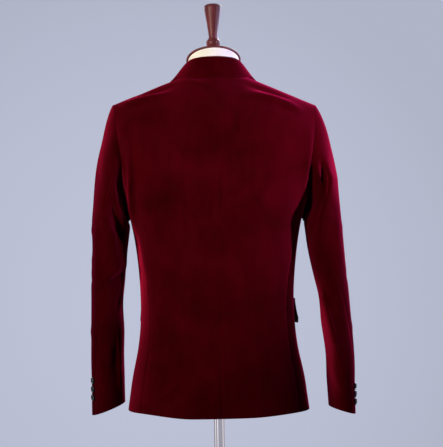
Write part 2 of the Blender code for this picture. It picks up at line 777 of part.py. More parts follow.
def build_sleeves(velvet, horn):
    along = np.concatenate([np.linspace(0, 1, CAP_ROWS + 1), 1 + np.linspace(0, 1, TUBE_ROWS + 1)[1:]])
    spans = {
        "top_sleeve": np.arange(FOREARM_SEAM - LOOP_END, LOOP_BACK + 1.0),
        "under_sleeve": np.arange(LOOP_BACK, FOREARM_SEAM + 1.0),
    }
    for name, sleeve in SLEEVES.items():
        surface = sleeve_surface(sleeve)
        rings = sleeve["rings"]
        for piece, span in spans.items():
            loop, rows = np.meshgrid(span, along)
            points = surface(loop, rows)
            normals = normals_of(surface, loop, rows)
            normals *= np.sign(((points - sleeve_axis(rings, points)) * normals)[CAP_ROWS:].sum())
            normals[0] = seam_normals(span, normals[0])
            trim(points, "start end")
            cloth_wall(f"{piece}_{name}", velvet, points, normals, sleeve["side"])
        for number, height in enumerate(sleeve["button_z"], start=1):
            along_button = 1 + (height - rings["z"][-1]) / (rings["z"][0] - rings["z"][-1])
            turn = sleeve["seam_turn"] * ease(along_button - 1)
            loop = np.interp(sleeve["button_angle"] + turn, LOOP_ANGLES, LOOP_SAMPLES)
            place = np.array(loop), np.array(along_button)
            point = surface(*place)
            normal = normals_of(surface, *place)
            normal *= np.sign(normal @ (point - sleeve_axis(rings, point)))
            mirror = np.array((sleeve["side"], 1, 1))
            seat = (point * mirror, normal * mirror)
            button(f"cuff_button_{name}_{number}", horn, *seat, CUFF_BUTTON_RADIUS, CUFF_BUTTON_GAP)


def seam_normals(span, sleeve_normals):
    """Wall direction at the armhole: the body's own where the seam bends out, the sleeve's under the arm."""

    def outward(surface):
        def normal(across, up):
            found = normals_of(surface, across, up)
            return found * np.sign(found[..., :1])

        return normal

    body = on_armhole(span, *(outward(surface) for surface in (back_panel, side_panel, front_panel)))
    share = ease(SEAM_BLEND * (body * sleeve_normals).sum(axis=-1))[:, None]
    return unit(share * body + (1 - share) * sleeve_normals)


def build_front_button(horn):
    place = np.zeros(()), np.array(FRONT_BUTTON_Z)
    normal = normals_of(front_face, *place)
    seat = (front_face(*place), normal * np.sign(-normal[1]))
    button("front_button", horn, *seat, FRONT_BUTTON_RADIUS, FRONT_BUTTON_GAP)


def form_ring(z, angles):
    """Level section of the dress form, inside the cloth and flat at the armholes."""
    seat_x = FORM_PLATE_X + (form_shoulder_z(FORM_PLATE_X) - z) / FORM_SHOULDER_SLOPE
    half = min(column(TORSO, "half_width", z) - FORM_SIDE_EASE, FORM_PLATE_X, seat_x)
    x = half * np.sin(angles)
    turn = np.cos(arch_turn(x, z, form_shoulder_z))
    back = section_depth(x, z, "back_depth", FORM_BACK_EASE) * turn
    front = section_depth(x, z, "front_depth", FORM_FRONT_EASE) * turn
    return stack(x, np.where(np.cos(angles) > 0, back, -front), z)


def neck_ring(share, angles):
    """Section of the neck between its base and the slanted plane under the cap."""
    half = NECK_HALF_WIDTH + (NECK_BASE_HALF_WIDTH - NECK_HALF_WIDTH) * (1 - share) ** 2
    y = NECK_CENTRE_Y + NECK_HALF_DEPTH * np.cos(angles)
    top = NECK_TOP_Z + math.tan(NECK_TILT) * (y - NECK_CENTRE_Y)
    return stack(half * np.sin(angles), y, NECK_BASE_Z + share * (top - NECK_BASE_Z))


def build_form(linen, wood, chrome, iron):
    angles = (np.arange(FORM_COLUMNS) + 0.5) * 2 * math.pi / FORM_COLUMNS
    lower = np.linspace(FORM_BOTTOM_Z + FORM_EDGE_ROUND, FORM_ARCH_Z, FORM_LOWER_ROWS + 1)
    upper = np.linspace(FORM_ARCH_Z, FORM_TOP_Z, FORM_UPPER_ROWS + 1)[1:]
    rings = [form_ring(z, angles) for z in (*lower, *upper)]
    foot = rings[0] * (FORM_FOOT_SHARE, FORM_FOOT_SHARE, 1) - (0, 0, FORM_EDGE_ROUND)
    neck = [neck_ring(share, angles) for share in NECK_SHARES]
    finish("form_body", solid_of_rings([foot, *rings, *neck]), linen)

    tilt = Matrix.Rotation(NECK_TILT, 4, "X")
    neck_top = Vector((0, NECK_CENTRE_Y, NECK_TOP_Z))
    seat = neck_top + tilt @ Vector((0, 0, SEAM_GAP))
    rim = CAP_HEIGHT / 3
    cap = (
        (CAP_RADIUS - rim, 0),
        (CAP_RADIUS, rim),
        (CAP_RADIUS, 2 * rim),
        (CAP_RADIUS - rim, CAP_HEIGHT),
    )
    turned("neck_cap", wood, cap, NECK_CAP_SEGMENTS, Matrix.Translation(seat) @ tilt)

    def seat_on_cap(rings):
        rings[0][:, 2] += math.tan(NECK_TILT) * rings[0][:, 1]

    finial_z = NECK_TOP_Z + (CAP_HEIGHT + 2 * SEAM_GAP) / math.cos(NECK_TILT)
    finial_seat = Matrix.Translation((0, NECK_CENTRE_Y, finial_z))
    turned("finial", wood, FINIAL_PROFILE, FINIAL_SEGMENTS, finial_seat, seat_on_cap)

    pole_bottom = BASE_PROFILE[-1][1] + SEAM_GAP
    pole_top = FORM_BOTTOM_Z - SEAM_GAP
    turned("pole", chrome, ((POLE_RADIUS, pole_bottom), (POLE_RADIUS, pole_top)), POLE_SEGMENTS)
    turned("base", iron, BASE_PROFILE, BASE_SEGMENTS)


def main():
    for piece in list(bpy.data.objects):
        bpy.data.objects.remove(piece, do_unlink=True)
    velvet, horn, linen, wood, chrome, iron = (material(name, *look) for name, look in MATERIALS.items())
    build_body(velvet)
    build_lapels(velvet)
    build_flaps(velvet)
    build_collar(velvet)
    build_sleeves(velvet, horn)
    build_front_button(horn)
    build_form(linen, wood, chrome, iron)


main()
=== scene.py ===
"""Velvet blazer on a dress form, laid out as an add-on and run as a script.

The cloth follows the sections, seams and sleeve rings of its solids on finer grids, with creases, sewn seams
and rolled edges. Metres, +Z up. The wearer's left is +X and the back of the garment faces +Y.
"""
import math

import bmesh
import bpy
import numpy as np
from bpy.props import FloatProperty, FloatVectorProperty, PointerProperty
from mathutils import Matrix, Vector


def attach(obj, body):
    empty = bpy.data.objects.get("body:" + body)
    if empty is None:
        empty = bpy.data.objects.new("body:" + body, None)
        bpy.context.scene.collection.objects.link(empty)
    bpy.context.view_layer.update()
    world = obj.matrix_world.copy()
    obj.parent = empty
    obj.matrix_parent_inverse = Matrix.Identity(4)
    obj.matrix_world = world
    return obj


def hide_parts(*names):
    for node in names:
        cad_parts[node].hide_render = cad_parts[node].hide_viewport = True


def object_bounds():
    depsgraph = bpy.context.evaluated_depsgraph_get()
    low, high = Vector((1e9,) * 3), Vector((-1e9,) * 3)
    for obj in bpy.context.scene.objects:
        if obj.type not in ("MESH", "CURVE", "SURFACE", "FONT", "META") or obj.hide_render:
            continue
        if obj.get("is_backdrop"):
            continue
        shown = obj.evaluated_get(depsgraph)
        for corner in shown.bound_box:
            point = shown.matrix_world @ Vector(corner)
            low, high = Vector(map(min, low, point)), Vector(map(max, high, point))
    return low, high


bl_info = {
    "name": "Velvet blazer on a dress form",
    "version": (1, 0, 0),
    "blender": (4, 5, 0),
    "location": "View3D > Sidebar > Blazer",
    "description": "Dresses the packed solids of a blazer and its dress form, and sets the studio",
    "category": "Object",
}

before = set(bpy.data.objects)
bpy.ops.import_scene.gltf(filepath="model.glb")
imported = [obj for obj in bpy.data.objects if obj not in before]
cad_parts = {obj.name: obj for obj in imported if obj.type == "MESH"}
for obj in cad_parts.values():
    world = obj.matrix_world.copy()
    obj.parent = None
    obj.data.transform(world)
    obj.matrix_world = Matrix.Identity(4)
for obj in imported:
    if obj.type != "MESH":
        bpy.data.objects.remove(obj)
CAD_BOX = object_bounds()


def table(columns, *rows):
    """A short table as one array for each named column."""
    return dict(zip(columns.split(), np.array(rows, dtype=float).T))


# Torso sections from the hem up, and the arch that carries them over to the shoulder line
TORSO = table(
    "z half_width back_depth front_depth squareness",
    (0.733, 0.1900, 0.128, 0.126, 2.30),
    (0.800, 0.1805, 0.124, 0.129, 2.30),
    (0.870, 0.1670, 0.112, 0.130, 2.30),
    (0.950, 0.1605, 0.098, 0.130, 2.30),
    (1.050, 0.1660, 0.100, 0.135, 2.35),
    (1.130, 0.1780, 0.110, 0.142, 2.45),
    (1.200, 0.1970, 0.118, 0.147, 2.70),
    (1.270, 0.2120, 0.121, 0.148, 2.90),
    (1.340, 0.2250, 0.121, 0.148, 3.00),
    (1.460, 0.2360, 0.118, 0.144, 3.00),
)
HEM_Z = 0.733
ARCH_Z = 1.165
ARCH_POWER = 2.5
NECK_POINT_X = 0.067
NECK_POINT_Z = 1.434
NECK_BACK_Y = 0.0535
SHOULDER_SLOPE = 0.392
RIGHT_SHOULDER_DROP = 0.005
RIGHT_DROP_START_X = 0.050
RIGHT_DROP_END_X = 0.215
RIGHT_DROP_FOOT_Z = 1.130

# Seams of the body panels, and the armhole's edge on each of them
BACK_SEAM = table(
    "z x",
    (0.733, 0.1630),
    (0.800, 0.1550),
    (0.890, 0.1430),
    (0.950, 0.1405),
    (1.010, 0.1460),
    (1.075, 0.1570),
    (1.125, 0.1680),
    (1.180, 0.1800),
    (1.250, 0.1940),
)
FRONT_SEAM = table(
    "z x",
    (0.733, 0.1650),
    (0.800, 0.1570),
    (0.870, 0.1470),
    (0.950, 0.1420),
    (1.050, 0.1480),
    (1.130, 0.1600),
    (1.215, 0.1830),
)
BACK_JOIN_Z = BACK_SEAM["z"][-1]
FRONT_JOIN_Z = FRONT_SEAM["z"][-1]
BACK_ARMHOLE = table("rise x", (0, 0.1940), (0.25, 0.2025), (0.5, 0.2075), (0.75, 0.2110), (1, 0.2130))
FRONT_ARMHOLE = table("rise x", (0, 0.1830), (0.25, 0.1890), (0.5, 0.1970), (0.75, 0.2060), (1, 0.2130))
UNDERARM = table("across z", (0, 1.250), (0.2, 1.192), (0.45, 1.142), (0.6, 1.138), (0.8, 1.160), (1, 1.215))

# Front edge below the button, then the roll line; the right front lies under the left
FRONT_EDGE = table(
    "z x",
    (0.733, 0.085),
    (0.742, 0.062),
    (0.760, 0.042),
    (0.790, 0.025),
    (0.840, 0.010),
    (0.900, -0.002),
    (0.960, -0.012),
    (1.005, -0.018),
)
BREAK_Z = FRONT_EDGE["z"][-1]
BREAK_X = FRONT_EDGE["x"][-1]
ROLL_BOW = 1.1
ROLL_PASSES = 8
LAP_INNER_X = 0.020
LAP_OUTER_X = 0.050
LAP_TUCK = 0.0028

# Lapels, collar and pocket flaps
LAID_GAP = 0.0011
LAPEL_FOOT_Z = {"left": 1.013, "right": 1.082}
LAPEL_TOP_Z = 1.4085
GORGE_DROP = 0.0475
LAPEL_FOOT_WIDTH = 0.006
LAPEL_TOP_WIDTH = 0.084
LAPEL_BELLY = 0.85
LAPEL_WRAP = 0.003
LAPEL_ROLL = 0.002
COLLAR = table(
    "station foot_x foot_y foot_z fold_x fold_y fold_z edge_x edge_y",
    (0, 0.0000, 0.0535, 1.4356, 0.0000, 0.0525, 1.4690, 0.0000, 0.0610),
    (1, 0.0465, 0.0386, 1.4312, 0.0395, 0.0365, 1.4670, 0.0510, 0.0430),
    (2, 0.0672, 0.0000, 1.4355, 0.0575, 0.0000, 1.4590, 0.0820, 0.0040),
    (3, 0.0660, -0.0375, 1.4290, 0.0635, -0.0330, 1.4405, 0.0980, -0.0380),
    (4, 0.0628, -0.0635, 1.4150, 0.0622, -0.0655, 1.4155, 0.1110, -0.0780),
)
COLLAR_END = COLLAR["station"][-1]
STAND_END = 3.4
COLLAR_LIFT = 0.0036
COLLAR_CREST = 0.006
COLLAR_SWELL = 0.001
COLLAR_DROP_SHARE = 0.45
FLAP_TOP_Z = 0.966
FLAP_BOTTOM_Z = 0.914
FLAP_BACK_ANGLE = {"left": math.radians(103), "right": math.radians(88)}
FLAP_SPREAD = math.radians(58)
FLAP_FLARE = {"left": 0.0015, "right": 0.005}
FLAP_FLARE_POWER = 1.5
FLAP_CORNER = 0.012
FLAP_CORNER_SHARE = 0.12

# Sleeves: the cap from the armhole to the bicep, the rings below it and the largest folds
SLEEVE_CAP = table(
    "under out down near far",
    (0, 0.50, 0.86, 0.20, 0.33),
    (1, 0.80, 0.60, 0.40, 0.40),
)
SLEEVE_CAP_SPREAD = 0.35
LEFT_RINGS = table(
    "z centre_x centre_y half_width half_depth",
    (0.740, 0.2322, -0.036, 0.0352, 0.049),
    (0.767, 0.2320, -0.031, 0.0352, 0.050),
    (0.843, 0.2313, -0.016, 0.0347, 0.053),
    (0.905, 0.2303, -0.005, 0.0347, 0.057),
    (0.968, 0.2304, 0.003, 0.0336, 0.061),
    (1.019, 0.2273, 0.007, 0.0355, 0.064),
    (1.068, 0.2236, 0.009, 0.0369, 0.067),
    (1.118, 0.2200, 0.010, 0.0392, 0.070),
)
RIGHT_RINGS = table(
    "z centre_x centre_y half_width half_depth",
    (0.727, 0.2645, -0.037, 0.0285, 0.049),
    (0.785, 0.2612, -0.027, 0.0296, 0.051),
    (0.843, 0.2595, -0.016, 0.0299, 0.053),
    (0.912, 0.2508, -0.004, 0.0318, 0.057),
    (0.968, 0.2455, 0.003, 0.0313, 0.060),
    (1.013, 0.2378, 0.006, 0.0348, 0.063),
    (1.068, 0.2297, 0.009, 0.0373, 0.067),
    (1.118, 0.2240, 0.010, 0.0390, 0.070),
)
LEFT_FOLDS = table(
    "x0 z0 x1 z1 height width",
    (0.240, 1.138, 0.209, 1.092, 0.004, 0.013),
    (0.205, 1.080, 0.203, 1.050, 0.006, 0.012),
    (0.206, 1.040, 0.232, 1.012, 0.005, 0.012),
    (0.210, 1.190, 0.197, 1.130, 0.004, 0.010),
    (0.222, 1.165, 0.207, 1.115, -0.004, 0.010),
    (0.205, 0.972, 0.212, 0.867, -0.004, 0.010),
)
RIGHT_FOLDS = table(
    "x0 z0 x1 z1 height width",
    (0.224, 1.256, 0.236, 1.220, 0.004, 0.011),
    (0.236, 1.215, 0.226, 1.140, 0.006, 0.012),
    (0.225, 1.135, 0.206, 1.067, 0.006, 0.012),
    (0.217, 1.245, 0.219, 1.170, -0.004, 0.009),
    (0.217, 0.966, 0.243, 0.879, 0.005, 0.012),
    (0.244, 0.875, 0.262, 0.785, 0.004, 0.012),
)
# Fullness of the cloth, moved straight back (or forward where it is negative)
FILL_COLUMNS = "x0 z0 x1 z1 x2 z2 depth width lean"
ARMHOLE_FILL = table(FILL_COLUMNS, (0.198, 1.345, 0.195, 1.225, 0.185, 1.125, 0.014, 0.014, 0.0))
ARMHOLE_FILL_FADE = 0.03
LEFT_FILLS = table(
    FILL_COLUMNS,
    (0.202, 0.960, 0.2035, 0.850, 0.204, 0.755, 0.012, 0.006, 0.0),
    (0.203, 1.155, 0.2025, 1.105, 0.203, 1.045, -0.018, 0.009, 0.0),
    (0.251, 1.170, 0.251, 1.050, 0.252, 0.900, 0.008, 0.010, 0.0),
)
RIGHT_FILLS = table(
    FILL_COLUMNS,
    (0.186, 1.205, 0.190, 1.135, 0.190, 1.070, 0.004, 0.009, 0.0),
    (0.243, 1.230, 0.249, 1.130, 0.260, 1.010, 0.010, 0.014, 0.0),
    (0.208, 1.005, 0.230, 0.929, 0.252, 0.825, 0.012, 0.008, -0.4),
    (0.229, 1.228, 0.212, 1.140, 0.196, 1.062, 0.012, 0.008, 0.4),
)
FILL_CAP_FADE = 0.05
# How far the hem rises on the left and on the right
HEM_RISE = (0.008, 0.004)
HEM_RISE_START_X = 0.06
HEM_RISE_SPAN = 0.11
HEM_RISE_HEIGHT = 0.11
FOLD_FADE_RATE = 2.0
FOLD_FADE_START = 0.05
FOLD_CAP_FADE = 0.33
SLEEVES = {
    "left": dict(
        side=1,
        rings=LEFT_RINGS,
        folds=LEFT_FOLDS,
        fills=LEFT_FILLS,
        head_puff=-0.08,
        cuff_tilt=0.013,
        seam_turn=math.radians(55),
        button_angle=math.radians(30),
        button_z=(0.776, 0.793, 0.810),
    ),
    "right": dict(
        side=-1,
        rings=RIGHT_RINGS,
        folds=RIGHT_FOLDS,
        fills=RIGHT_FILLS,
        head_puff=0.18,
        cuff_tilt=0.0085,
        seam_turn=math.radians(78),
        button_angle=math.radians(30),
        button_z=(0.752, 0.768, 0.784),
    ),
}

# Creases: the three points that each one bends through, its height, its width and how much it leans over.
# Those of the body are in x and z; those of a sleeve in distance from the centre line and z.
CREASE_COLUMNS = "x0 z0 x1 z1 x2 z2 height width lean"
BACK_CREASES = table(
    CREASE_COLUMNS,
    (0.190, 1.320, 0.180, 1.249, 0.176, 1.185, 0.0045, 0.0050, 0.0),
    (0.178, 1.235, 0.176, 1.165, 0.169, 1.090, 0.0058, 0.0050, 0.0),
    (0.200, 1.372, 0.150, 1.384, 0.085, 1.398, 0.0052, 0.0068, 0.0),
    (0.165, 1.394, 0.122, 1.402, 0.072, 1.417, -0.0030, 0.0065, 0.0),
    (-0.050, 1.393, -0.122, 1.382, -0.186, 1.355, 0.0054, 0.0090, 0.0),
    (-0.055, 1.413, -0.105, 1.402, -0.155, 1.382, -0.0030, 0.0065, 0.0),
    (0.068, 1.426, 0.039, 1.419, 0.011, 1.413, 0.0012, 0.0055, 0.0),
    (-0.014, 1.427, -0.047, 1.425, -0.080, 1.422, 0.0012, 0.0055, 0.0),
    (-0.200, 1.268, -0.195, 1.208, -0.184, 1.135, -0.0060, 0.0070, 0.0),
    (-0.182, 1.314, -0.181, 1.243, -0.169, 1.161, 0.0024, 0.0140, 0.0),
    (0.086, 1.215, 0.090, 1.074, 0.089, 0.913, 0.0012, 0.0260, 0.0),
    (-0.063, 1.193, -0.069, 1.051, -0.061, 0.910, 0.0010, 0.0240, 0.0),
    (0.175, 0.799, 0.155, 0.774, 0.135, 0.749, 0.0012, 0.0100, 0.0),
    (-0.122, 0.795, -0.149, 0.769, -0.173, 0.744, 0.0012, 0.0110, 0.0),
)
FRONT_CREASES = table(
    CREASE_COLUMNS,
    (0.030, 1.000, 0.075, 1.008, 0.125, 1.035, 0.0016, 0.0090, 0.0),
    (0.035, 0.990, 0.080, 0.985, 0.118, 0.968, 0.0014, 0.0100, 0.0),
    (-0.045, 1.000, -0.085, 1.012, -0.128, 1.044, 0.0015, 0.0090, 0.0),
    (-0.050, 0.988, -0.085, 0.980, -0.112, 0.967, 0.0012, 0.0110, 0.0),
    (0.186, 1.300, 0.174, 1.240, 0.170, 1.170, 0.0026, 0.0100, 0.0),
    (-0.188, 1.295, -0.176, 1.235, -0.169, 1.175, 0.0028, 0.0090, 0.0),
    (0.110, 0.900, 0.116, 0.840, 0.124, 0.760, 0.0014, 0.0180, 0.0),
    (-0.105, 0.895, -0.114, 0.830, -0.120, 0.755, 0.0016, 0.0160, 0.0),
)
SLEEVE_CREASES = {
    "left": table(
        CREASE_COLUMNS,
        (0.238, 1.138, 0.225, 1.117, 0.207, 1.090, 0.0030, 0.0080, 0.3),
        (0.236, 1.185, 0.2205, 1.118, 0.206, 1.045, 0.0042, 0.0080, 0.5),
        (0.206, 1.055, 0.211, 1.032, 0.230, 1.016, 0.0034, 0.0080, 0.3),
        (0.206, 1.205, 0.200, 1.165, 0.196, 1.128, 0.0030, 0.0060, 0.0),
        (0.219, 1.205, 0.2125, 1.160, 0.201, 1.095, -0.0070, 0.0055, 0.0),
        (0.189, 1.220, 0.185, 1.192, 0.181, 1.165, -0.0030, 0.0065, 0.0),
        (0.225, 1.310, 0.233, 1.251, 0.226, 1.172, 0.0018, 0.0090, 0.0),
        (0.202, 0.980, 0.199, 0.929, 0.208, 0.870, -0.0026, 0.0070, 0.0),
        (0.209, 0.878, 0.213, 0.846, 0.219, 0.820, -0.0020, 0.0070, 0.0),
        (0.195, 0.990, 0.206, 0.965, 0.217, 0.945, -0.0022, 0.0060, 0.0),
        (0.228, 1.008, 0.208, 1.016, 0.186, 1.034, -0.0055, 0.0070, 0.0),
    ),
    "right": table(
        CREASE_COLUMNS,
        (0.219, 1.258, 0.232, 1.218, 0.229, 1.175, 0.0022, 0.0060, 0.0),
        (0.226, 1.222, 0.210, 1.140, 0.193, 1.068, 0.0020, 0.0060, 0.5),
        (0.211, 1.264, 0.220, 1.204, 0.207, 1.140, -0.0055, 0.0060, 0.0),
        (0.207, 1.260, 0.203, 1.208, 0.201, 1.148, 0.0032, 0.0060, 0.0),
        (0.201, 0.998, 0.2215, 0.929, 0.241, 0.840, 0.0020, 0.0060, 0.0),
        (0.238, 0.865, 0.246, 0.810, 0.258, 0.765, 0.0026, 0.0080, 0.0),
        (0.203, 1.070, 0.204, 1.031, 0.210, 0.988, 0.0018, 0.0070, 0.0),
    ),
}
SLEEVE_FRONT_CREASES = table(
    CREASE_COLUMNS,
    (0.252, 1.130, 0.228, 1.110, 0.204, 1.105, 0.0026, 0.0090, 0.0),
    (0.256, 1.050, 0.234, 1.040, 0.206, 1.052, 0.0028, 0.0080, 0.0),
    (0.258, 0.985, 0.236, 0.990, 0.212, 1.010, 0.0024, 0.0085, 0.0),
    (0.215, 1.250, 0.221, 1.200, 0.214, 1.150, 0.0026, 0.0100, 0.0),
    (0.250, 0.930, 0.240, 0.890, 0.246, 0.840, -0.0018, 0.0090, 0.0),
)
# Creases on the outer side of a sleeve, in y and z
SLEEVE_SIDE_CREASES = table(
    CREASE_COLUMNS,
    (-0.052, 1.150, -0.010, 1.118, 0.046, 1.122, 0.0013, 0.0100, 0.0),
    (-0.056, 1.062, -0.020, 1.048, 0.030, 1.066, 0.0012, 0.0090, 0.0),
    (-0.048, 1.010, -0.006, 1.018, 0.044, 1.000, -0.0011, 0.0090, 0.0),
    (-0.010, 1.300, 0.012, 1.240, 0.008, 1.165, 0.0013, 0.0120, 0.0),
    (-0.050, 0.930, -0.022, 0.905, 0.026, 0.912, 0.0012, 0.0100, 0.0),
)
# Painted light and shade of each piece: its share of the end-on tone, below 1 where the piece lies in shade,
# then its share of the painted edge-on sheen by height, higher where the lights fall
PAINTED_LIGHT_TOP_Z = 1.5
PAINTED_LIGHT_SHARES = {
    "body": (1.0, ((0.73, 0.8), (1.33, 1.0), (1.40, 1.4))),
    "side_left": (1.0, ((0.73, 1.2), (0.88, 1.5), (0.95, 2.4), (1.03, 4.4), (1.10, 4.6), (1.16, 1.6))),
    "side_right": (0.6, ((0.73, 0.5), (0.88, 0.3), (1.03, 0.4), (1.16, 0.6), (1.25, 1.0))),
    "top_sleeve_left": (0.82, ((0.73, 0.1), (1.10, 0.2), (1.16, 0.8), (1.22, 0.9), (1.29, 1.9))),
    "under_sleeve_left": (0.78, ((0.73, 0.4), (1.10, 0.2), (1.16, 0.5), (1.22, 0.6))),
    "top_sleeve_right": (1.0, ((0.75, 0.8), (1.03, 0.5), (1.15, 0.4), (1.24, 1.1))),
    "under_sleeve_right": (
        0.84, ((0.75, 1.6), (0.84, 1.8), (0.90, 2.3), (0.95, 2.0), (1.03, 0.4), (1.20, 0.2))
    ),
}
CREASE_STEPS = 14
SEAM_CLEAR = 0.009
FACING_RATE = 1.6
FACING_START = 0.15
WAVE_LENGTH = 0.085
WAVE_LENGTH_SHARES = (0.7, 1.5)
WAVE_TERMS = 5
BODY_SEED = 1
SLEEVE_SEED = 2
HEM_SEED = 5
PUCKER_LENGTH = 0.021
PUCKER_SHARE = 0.35
HEM_TURN_UP = 0.038
HEM_PULL = 0.00025
HEM_PULL_WIDTH = 0.004
HEM_PULL_LENGTH = 0.0135

# Buttons: profile as shares of radius and height, and the thread through the holes
CUFF_BUTTON_RADIUS = 0.0072
FRONT_BUTTON_RADIUS = 0.0115
BUTTON_HEIGHT = 0.0034
CUFF_BUTTON_GAP = 0.0002
FRONT_BUTTON_GAP = 0.0006
FRONT_BUTTON_Z = 0.998
BUTTON_PROFILE = table(
    "radius height",
    (0.00, 0.00),
    (0.70, 0.00),
    (0.93, 0.16),
    (1.00, 0.42),
    (0.99, 0.70),
    (0.92, 0.94),
    (0.84, 1.00),
    (0.76, 0.93),
    (0.68, 0.76),
    (0.52, 0.68),
    (0.00, 0.66),
)
BUTTON_SEGMENTS = 48
BUTTON_DETAIL = 3
HOLE_OFFSET = 0.20
HOLE_RADIUS = 0.085
HOLE_RIM = table("radius height", (1.35, -0.20), (1.30, 0.03), (1.00, 0.05), (0.80, 0.01))
HOLE_SEGMENTS = 14
THREAD_RADIUS = 0.075
THREAD_STEPS = 9
THREAD_SIDES = 8
THREAD_ARCH = 2.4
THREAD_FOOT = 0.2
THREAD_CROSSING = 0.6
BUTTONHOLE_START_X = 0.002
BUTTONHOLE_LENGTH = 0.021
BUTTONHOLE_HALF_WIDTH = 0.0012
BUTTONHOLE_THREAD = 0.0006
BUTTONHOLE_STITCHES = 44
BUTTONHOLE_STITCH_STEPS = 6
BUTTONHOLE_SQUARENESS = 0.5
STITCH_WAIST = 0.75

# Dress form under the cloth, its neck, cap and finial, and the stand
FORM_BOTTOM_Z = 0.800
FORM_EDGE_ROUND = 0.006
FORM_FOOT_SHARE = 0.97
FORM_PLATE_X = 0.186
FORM_SIDE_EASE = 0.010
FORM_BACK_EASE = 0.008
FORM_FRONT_EASE = 0.014
FORM_SEAT_DROP = 0.0032
FORM_SHOULDER_SLOPE = 0.345
FORM_ARCH_Z = 1.310
FORM_TOP_Z = 1.424
NECK_BASE_Z = 1.431
NECK_TOP_Z = 1.467
NECK_CENTRE_Y = -0.006
NECK_BASE_HALF_WIDTH = 0.0590
NECK_HALF_WIDTH = 0.0535
NECK_HALF_DEPTH = 0.052
NECK_TILT = math.radians(24)
CAP_RADIUS = 0.0575
CAP_HEIGHT = 0.006
# Rounded rim of the cap, in thirds of its height
CAP_RIM = table("inset height", (1.6, 0.0), (0.6, 0.3), (0.0, 1.2), (0.2, 2.2), (1.0, 2.8), (2.4, 3.0))
FINIAL = table(
    "radius height",
    (0.0120, 0.000),
    (0.0120, 0.011),
    (0.0120, 0.022),
    (0.0145, 0.029),
    (0.0145, 0.035),
    (0.0095, 0.042),
    (0.0100, 0.050),
    (0.0125, 0.068),
    (0.0165, 0.092),
    (0.0182, 0.103),
    (0.0172, 0.110),
    (0.0110, 0.1135),
)
POLE_RADIUS = 0.011
BASE = table(
    "radius height",
    (0.1700, 0.000),
    (0.1700, 0.006),
    (0.1660, 0.010),
    (0.0900, 0.014),
    (0.0300, 0.018),
    (0.0260, 0.030),
    (0.0220, 0.032),
)
SEAT_GAP = 0.0003

# Grid sizes, and for a turned piece its segments and the rings to each step of its profile
PANEL_ROWS = 120
SHOULDER_ROWS = 80
BACK_COLUMNS = 105
SIDE_COLUMNS = 48
FRONT_COLUMNS = 72
LAPEL_COLUMNS = 36
LAPEL_ROWS = 90
FLAP_COLUMNS = 64
FLAP_ROWS = 24
COLLAR_COLUMNS = 140
STAND_ROWS = 10
LEAF_ROWS = 36
CAP_ROWS = 44
TUBE_ROWS = 130
LOOP_COLUMNS = 9
FORM_COLUMNS = 96
FORM_LOWER_ROWS = 40
FORM_UPPER_ROWS = 36
NECK_ROWS = 13
CAP_GRID = (96, 4)
FINIAL_GRID = (64, 6)
POLE_GRID = (64, 40)
BASE_GRID = (128, 4)
FLOOR_SEGMENTS = 128
SLOPE_STEP = 1e-3
LEAST_RADIUS = 1e-5
LEAST_LENGTH = 1e-12
RIM_ANGLES = (math.pi / 4, math.pi / 2, 3 * math.pi / 4)
SHARP_ANGLE = math.radians(50)
SIDES = (("left", 1), ("right", -1))
ALL_EDGES = "start end first last"
# A direction that no thread runs along
ASKEW = np.array((0.13, 0.29, 0.95))


def curve(xs, ys, x):
    """Cubic curve through the points of a table, with each slope taken across the neighbouring points."""
    slopes = np.gradient(ys, xs)
    i = np.clip(np.searchsorted(xs, x) - 1, 0, len(xs) - 2)
    width = xs[i + 1] - xs[i]
    t = (x - xs[i]) / width
    start = ys[i] * (1 + 2 * t) * (1 - t) ** 2 + slopes[i] * width * t * (1 - t) ** 2
    end = ys[i + 1] * (3 - 2 * t) * t**2 + slopes[i + 1] * width * (t - 1) * t**2
    return start + end


def column(values, name, at, key="z"):
    """Value of one column of a table, at places along its key column."""
    return curve(values[key], values[name], at)


def steps(count):
    """Even shares from 0 to 1."""
    return np.linspace(0, 1, count + 1)


def ease(t):
    """Smooth step from 0 to 1."""
    t = np.clip(t, 0, 1)
    return t * t * (3 - 2 * t)


def stack(x, y, z):
    return np.stack(np.broadcast_arrays(x, y, z), axis=-1)


def unit(vectors):
    return vectors / np.maximum(np.linalg.norm(vectors, axis=-1, keepdims=True), LEAST_LENGTH)


def bezier(begin, near, far, end, t):
    return begin * (1 - t) ** 3 + 3 * near * t * (1 - t) ** 2 + 3 * far * t**2 * (1 - t) + end * t**3


def crease_height(creases, x, z):
    """Height of a table's creases, each along a bent line and fading towards its ends."""
    height = np.zeros(x.shape)
    share = steps(CREASE_STEPS)[:, None]
    spots = np.stack([x, z], axis=-1)
    for *places, rise, width, lean in zip(*creases.values()):
        start, middle, end = np.reshape(places, (3, 2))
        bend = 2 * middle - (start + end) / 2
        path = start * (1 - share) ** 2 + 2 * bend * share * (1 - share) + end * share**2
        nearest = np.full(x.shape, np.inf)
        place = np.zeros(x.shape)
        hand = np.zeros(x.shape)
        for i, (near, far) in enumerate(zip(path, path[1:])):
            run = far - near
            offset = spots - near
            part = np.clip(offset @ run / (run @ run), 0, 1)
            away = np.linalg.norm(offset - part[..., None] * run, axis=-1)
            closer = away < nearest
            nearest = np.where(closer, away, nearest)
            place = np.where(closer, (i + part) / CREASE_STEPS, place)
            hand = np.where(closer, np.sign(run[0] * offset[..., 1] - run[1] * offset[..., 0]), hand)
        spread = width * (1 + lean * hand)
        height += rise * np.exp(-((nearest / spread) ** 2)) * np.sin(math.pi * place)
    return height


def shoulder_z(x):
    return NECK_POINT_Z - SHOULDER_SLOPE * (np.abs(x) - NECK_POINT_X)


def section_depth(x, z, face, ease_in=0.0):
    """Depth of a torso section at x, before the shoulder arch."""
    half_width = column(TORSO, "half_width", z) - ease_in
    depth = column(TORSO, face, z) - ease_in
    power = column(TORSO, "squareness", z)
    return depth * np.maximum(1 - (np.abs(x) / half_width) ** power, 0) ** (1 / power)


